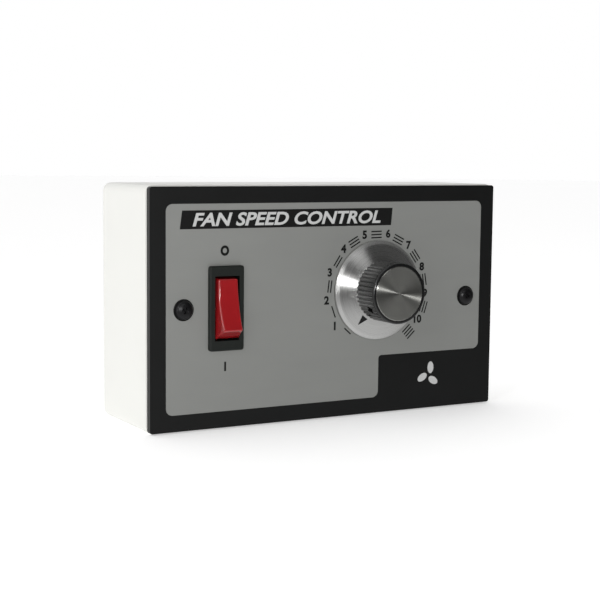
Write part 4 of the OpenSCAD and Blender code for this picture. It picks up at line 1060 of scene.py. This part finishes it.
inside["enamelled_copper"] = finish("enamelled_wire", (0.62, 0.20, 0.06), 0.28, 0.85, grain=0.4,
                                    shade=0.18, swing=0.08, relief=0.01,
                                    Coat_Weight=0.6, Coat_Roughness=0.12)
inside["earth_insulation"] = insulation("green_yellow_lead", (0.03, 0.26, 0.03), (0.85, 0.62, 0.02))
inside["brown_insulation"] = insulation("brown_lead", (0.14, 0.05, 0.022))
inside["white_insulation"] = insulation("white_lead", (0.74, 0.74, 0.71))
print("leads:", [key for key in inside if key.endswith("insulation")])

# %% Board, resistor bands and glass
BODY_HALF, BAND = 6, 0.09   # half a resistor's length in mm, and a band's share of that length


def board_finish(name, resist, track):
    mat, shader = blank(name, resist, 0.32, 0.0, Coat_Weight=0.3, Coat_Roughness=0.15)
    place = add(mat, "TexCoord")
    cells = add(mat, "TexVoronoi", {"Scale": 230.0, "Randomness": 0.85}, feature="F1",
                distance="CHEBYCHEV")
    lines = add(mat, "ValToRGB")
    first, second = lines.color_ramp.elements
    first.position, second.position = 0.40, 0.44
    first.color, second.color = tone(resist), tone(track)
    weave = add(mat, "TexNoise", {"Scale": 2600.0, "Detail": 3.0})
    height = add(mat, "Math", {1: 0.15}, operation="MULTIPLY_ADD")
    join(mat, (place, "Object", cells, "Vector"), (place, "Object", weave, "Vector"),
         (cells, "Distance", lines, "Fac"), (lines, "Color", shader, "Base Color"),
         (weave, "Fac", height, 0), (lines, "Color", height, 2))
    polish(mat, shader, weave, 0.24, 0.42)
    emboss(mat, shader, height, "Value", 0.035)
    return mat


def banded(name, coat, bands, x0, x1):
    """Bands of colour between two places along X. bands holds (share of the length, colour)."""
    mat = finish(name, coat, 0.38, grain=0.3, shade=0.05, relief=0.006)
    shader = mat.node_tree.nodes["Principled BSDF"]
    place = add(mat, "TexCoord")
    sides = add(mat, "SeparateXYZ")
    share = add(mat, "MapRange", {"From Min": x0 * MM, "From Max": x1 * MM})
    ramp = add(mat, "ValToRGB")
    ramp.color_ramp.interpolation = "CONSTANT"
    ramp.color_ramp.elements[0].color = tone(coat)
    ramp.color_ramp.elements.remove(ramp.color_ramp.elements[1])
    for spot, colour in bands:
        ramp.color_ramp.elements.new(spot).color = tone(colour)
        ramp.color_ramp.elements.new(spot + BAND).color = tone(coat)
    join(mat, (place, "Object", sides, "Vector"), (sides, "X", share, "Value"),
         (share, "Result", ramp, "Fac"), (ramp, "Color", shader, "Base Color"))
    return mat


def glass(name, colour, rough):
    mat, shader = blank(name, colour, rough, 0.0, Transmission_Weight=0.9, IOR=1.47)
    place = add(mat, "TexCoord")
    ripple = add(mat, "TexNoise", {"Scale": 500.0, "Detail": 2.0})
    join(mat, (place, "Object", ripple, "Vector"))
    emboss(mat, shader, ripple, "Fac", 0.01, strength=0.5)
    return mat


inside["board_laminate"] = board_finish("board_resist", (0.012, 0.10, 0.035), (0.03, 0.21, 0.07))
resistor_x = middle("resistors", "x")
brown, black, orange, gold = ((0.16, 0.05, 0.02), (0.01, 0.01, 0.01), (0.75, 0.24, 0.02),
                              (0.62, 0.45, 0.12))
inside["resistor_coat"] = banded("resistor_coat", (0.58, 0.40, 0.22),
                                 [(0.14, brown), (0.32, black), (0.50, orange), (0.78, gold)],
                                 resistor_x - BODY_HALF, resistor_x + BODY_HALF)
inside["fuse_glass"] = glass("fuse_glass", (0.93, 0.97, 0.96), 0.04)
inside["neon_glass"] = glass("neon_glass", (1.0, 0.72, 0.55), 0.06)
print("board, bands and glass done")

# %% [markdown]
# Each CAD part that still shows takes the finish that its slot in the record names. Its mesh is
# left alone: only the material in its slots changes.

# %% Dress the parts inside
for name, part in frame["nodes"].items():
    if name in replaced:
        continue
    for holder in part.material_slots:
        holder.material = inside[slot_of[name]]
print("dressed", len(frame["nodes"]) - len(replaced), "parts")
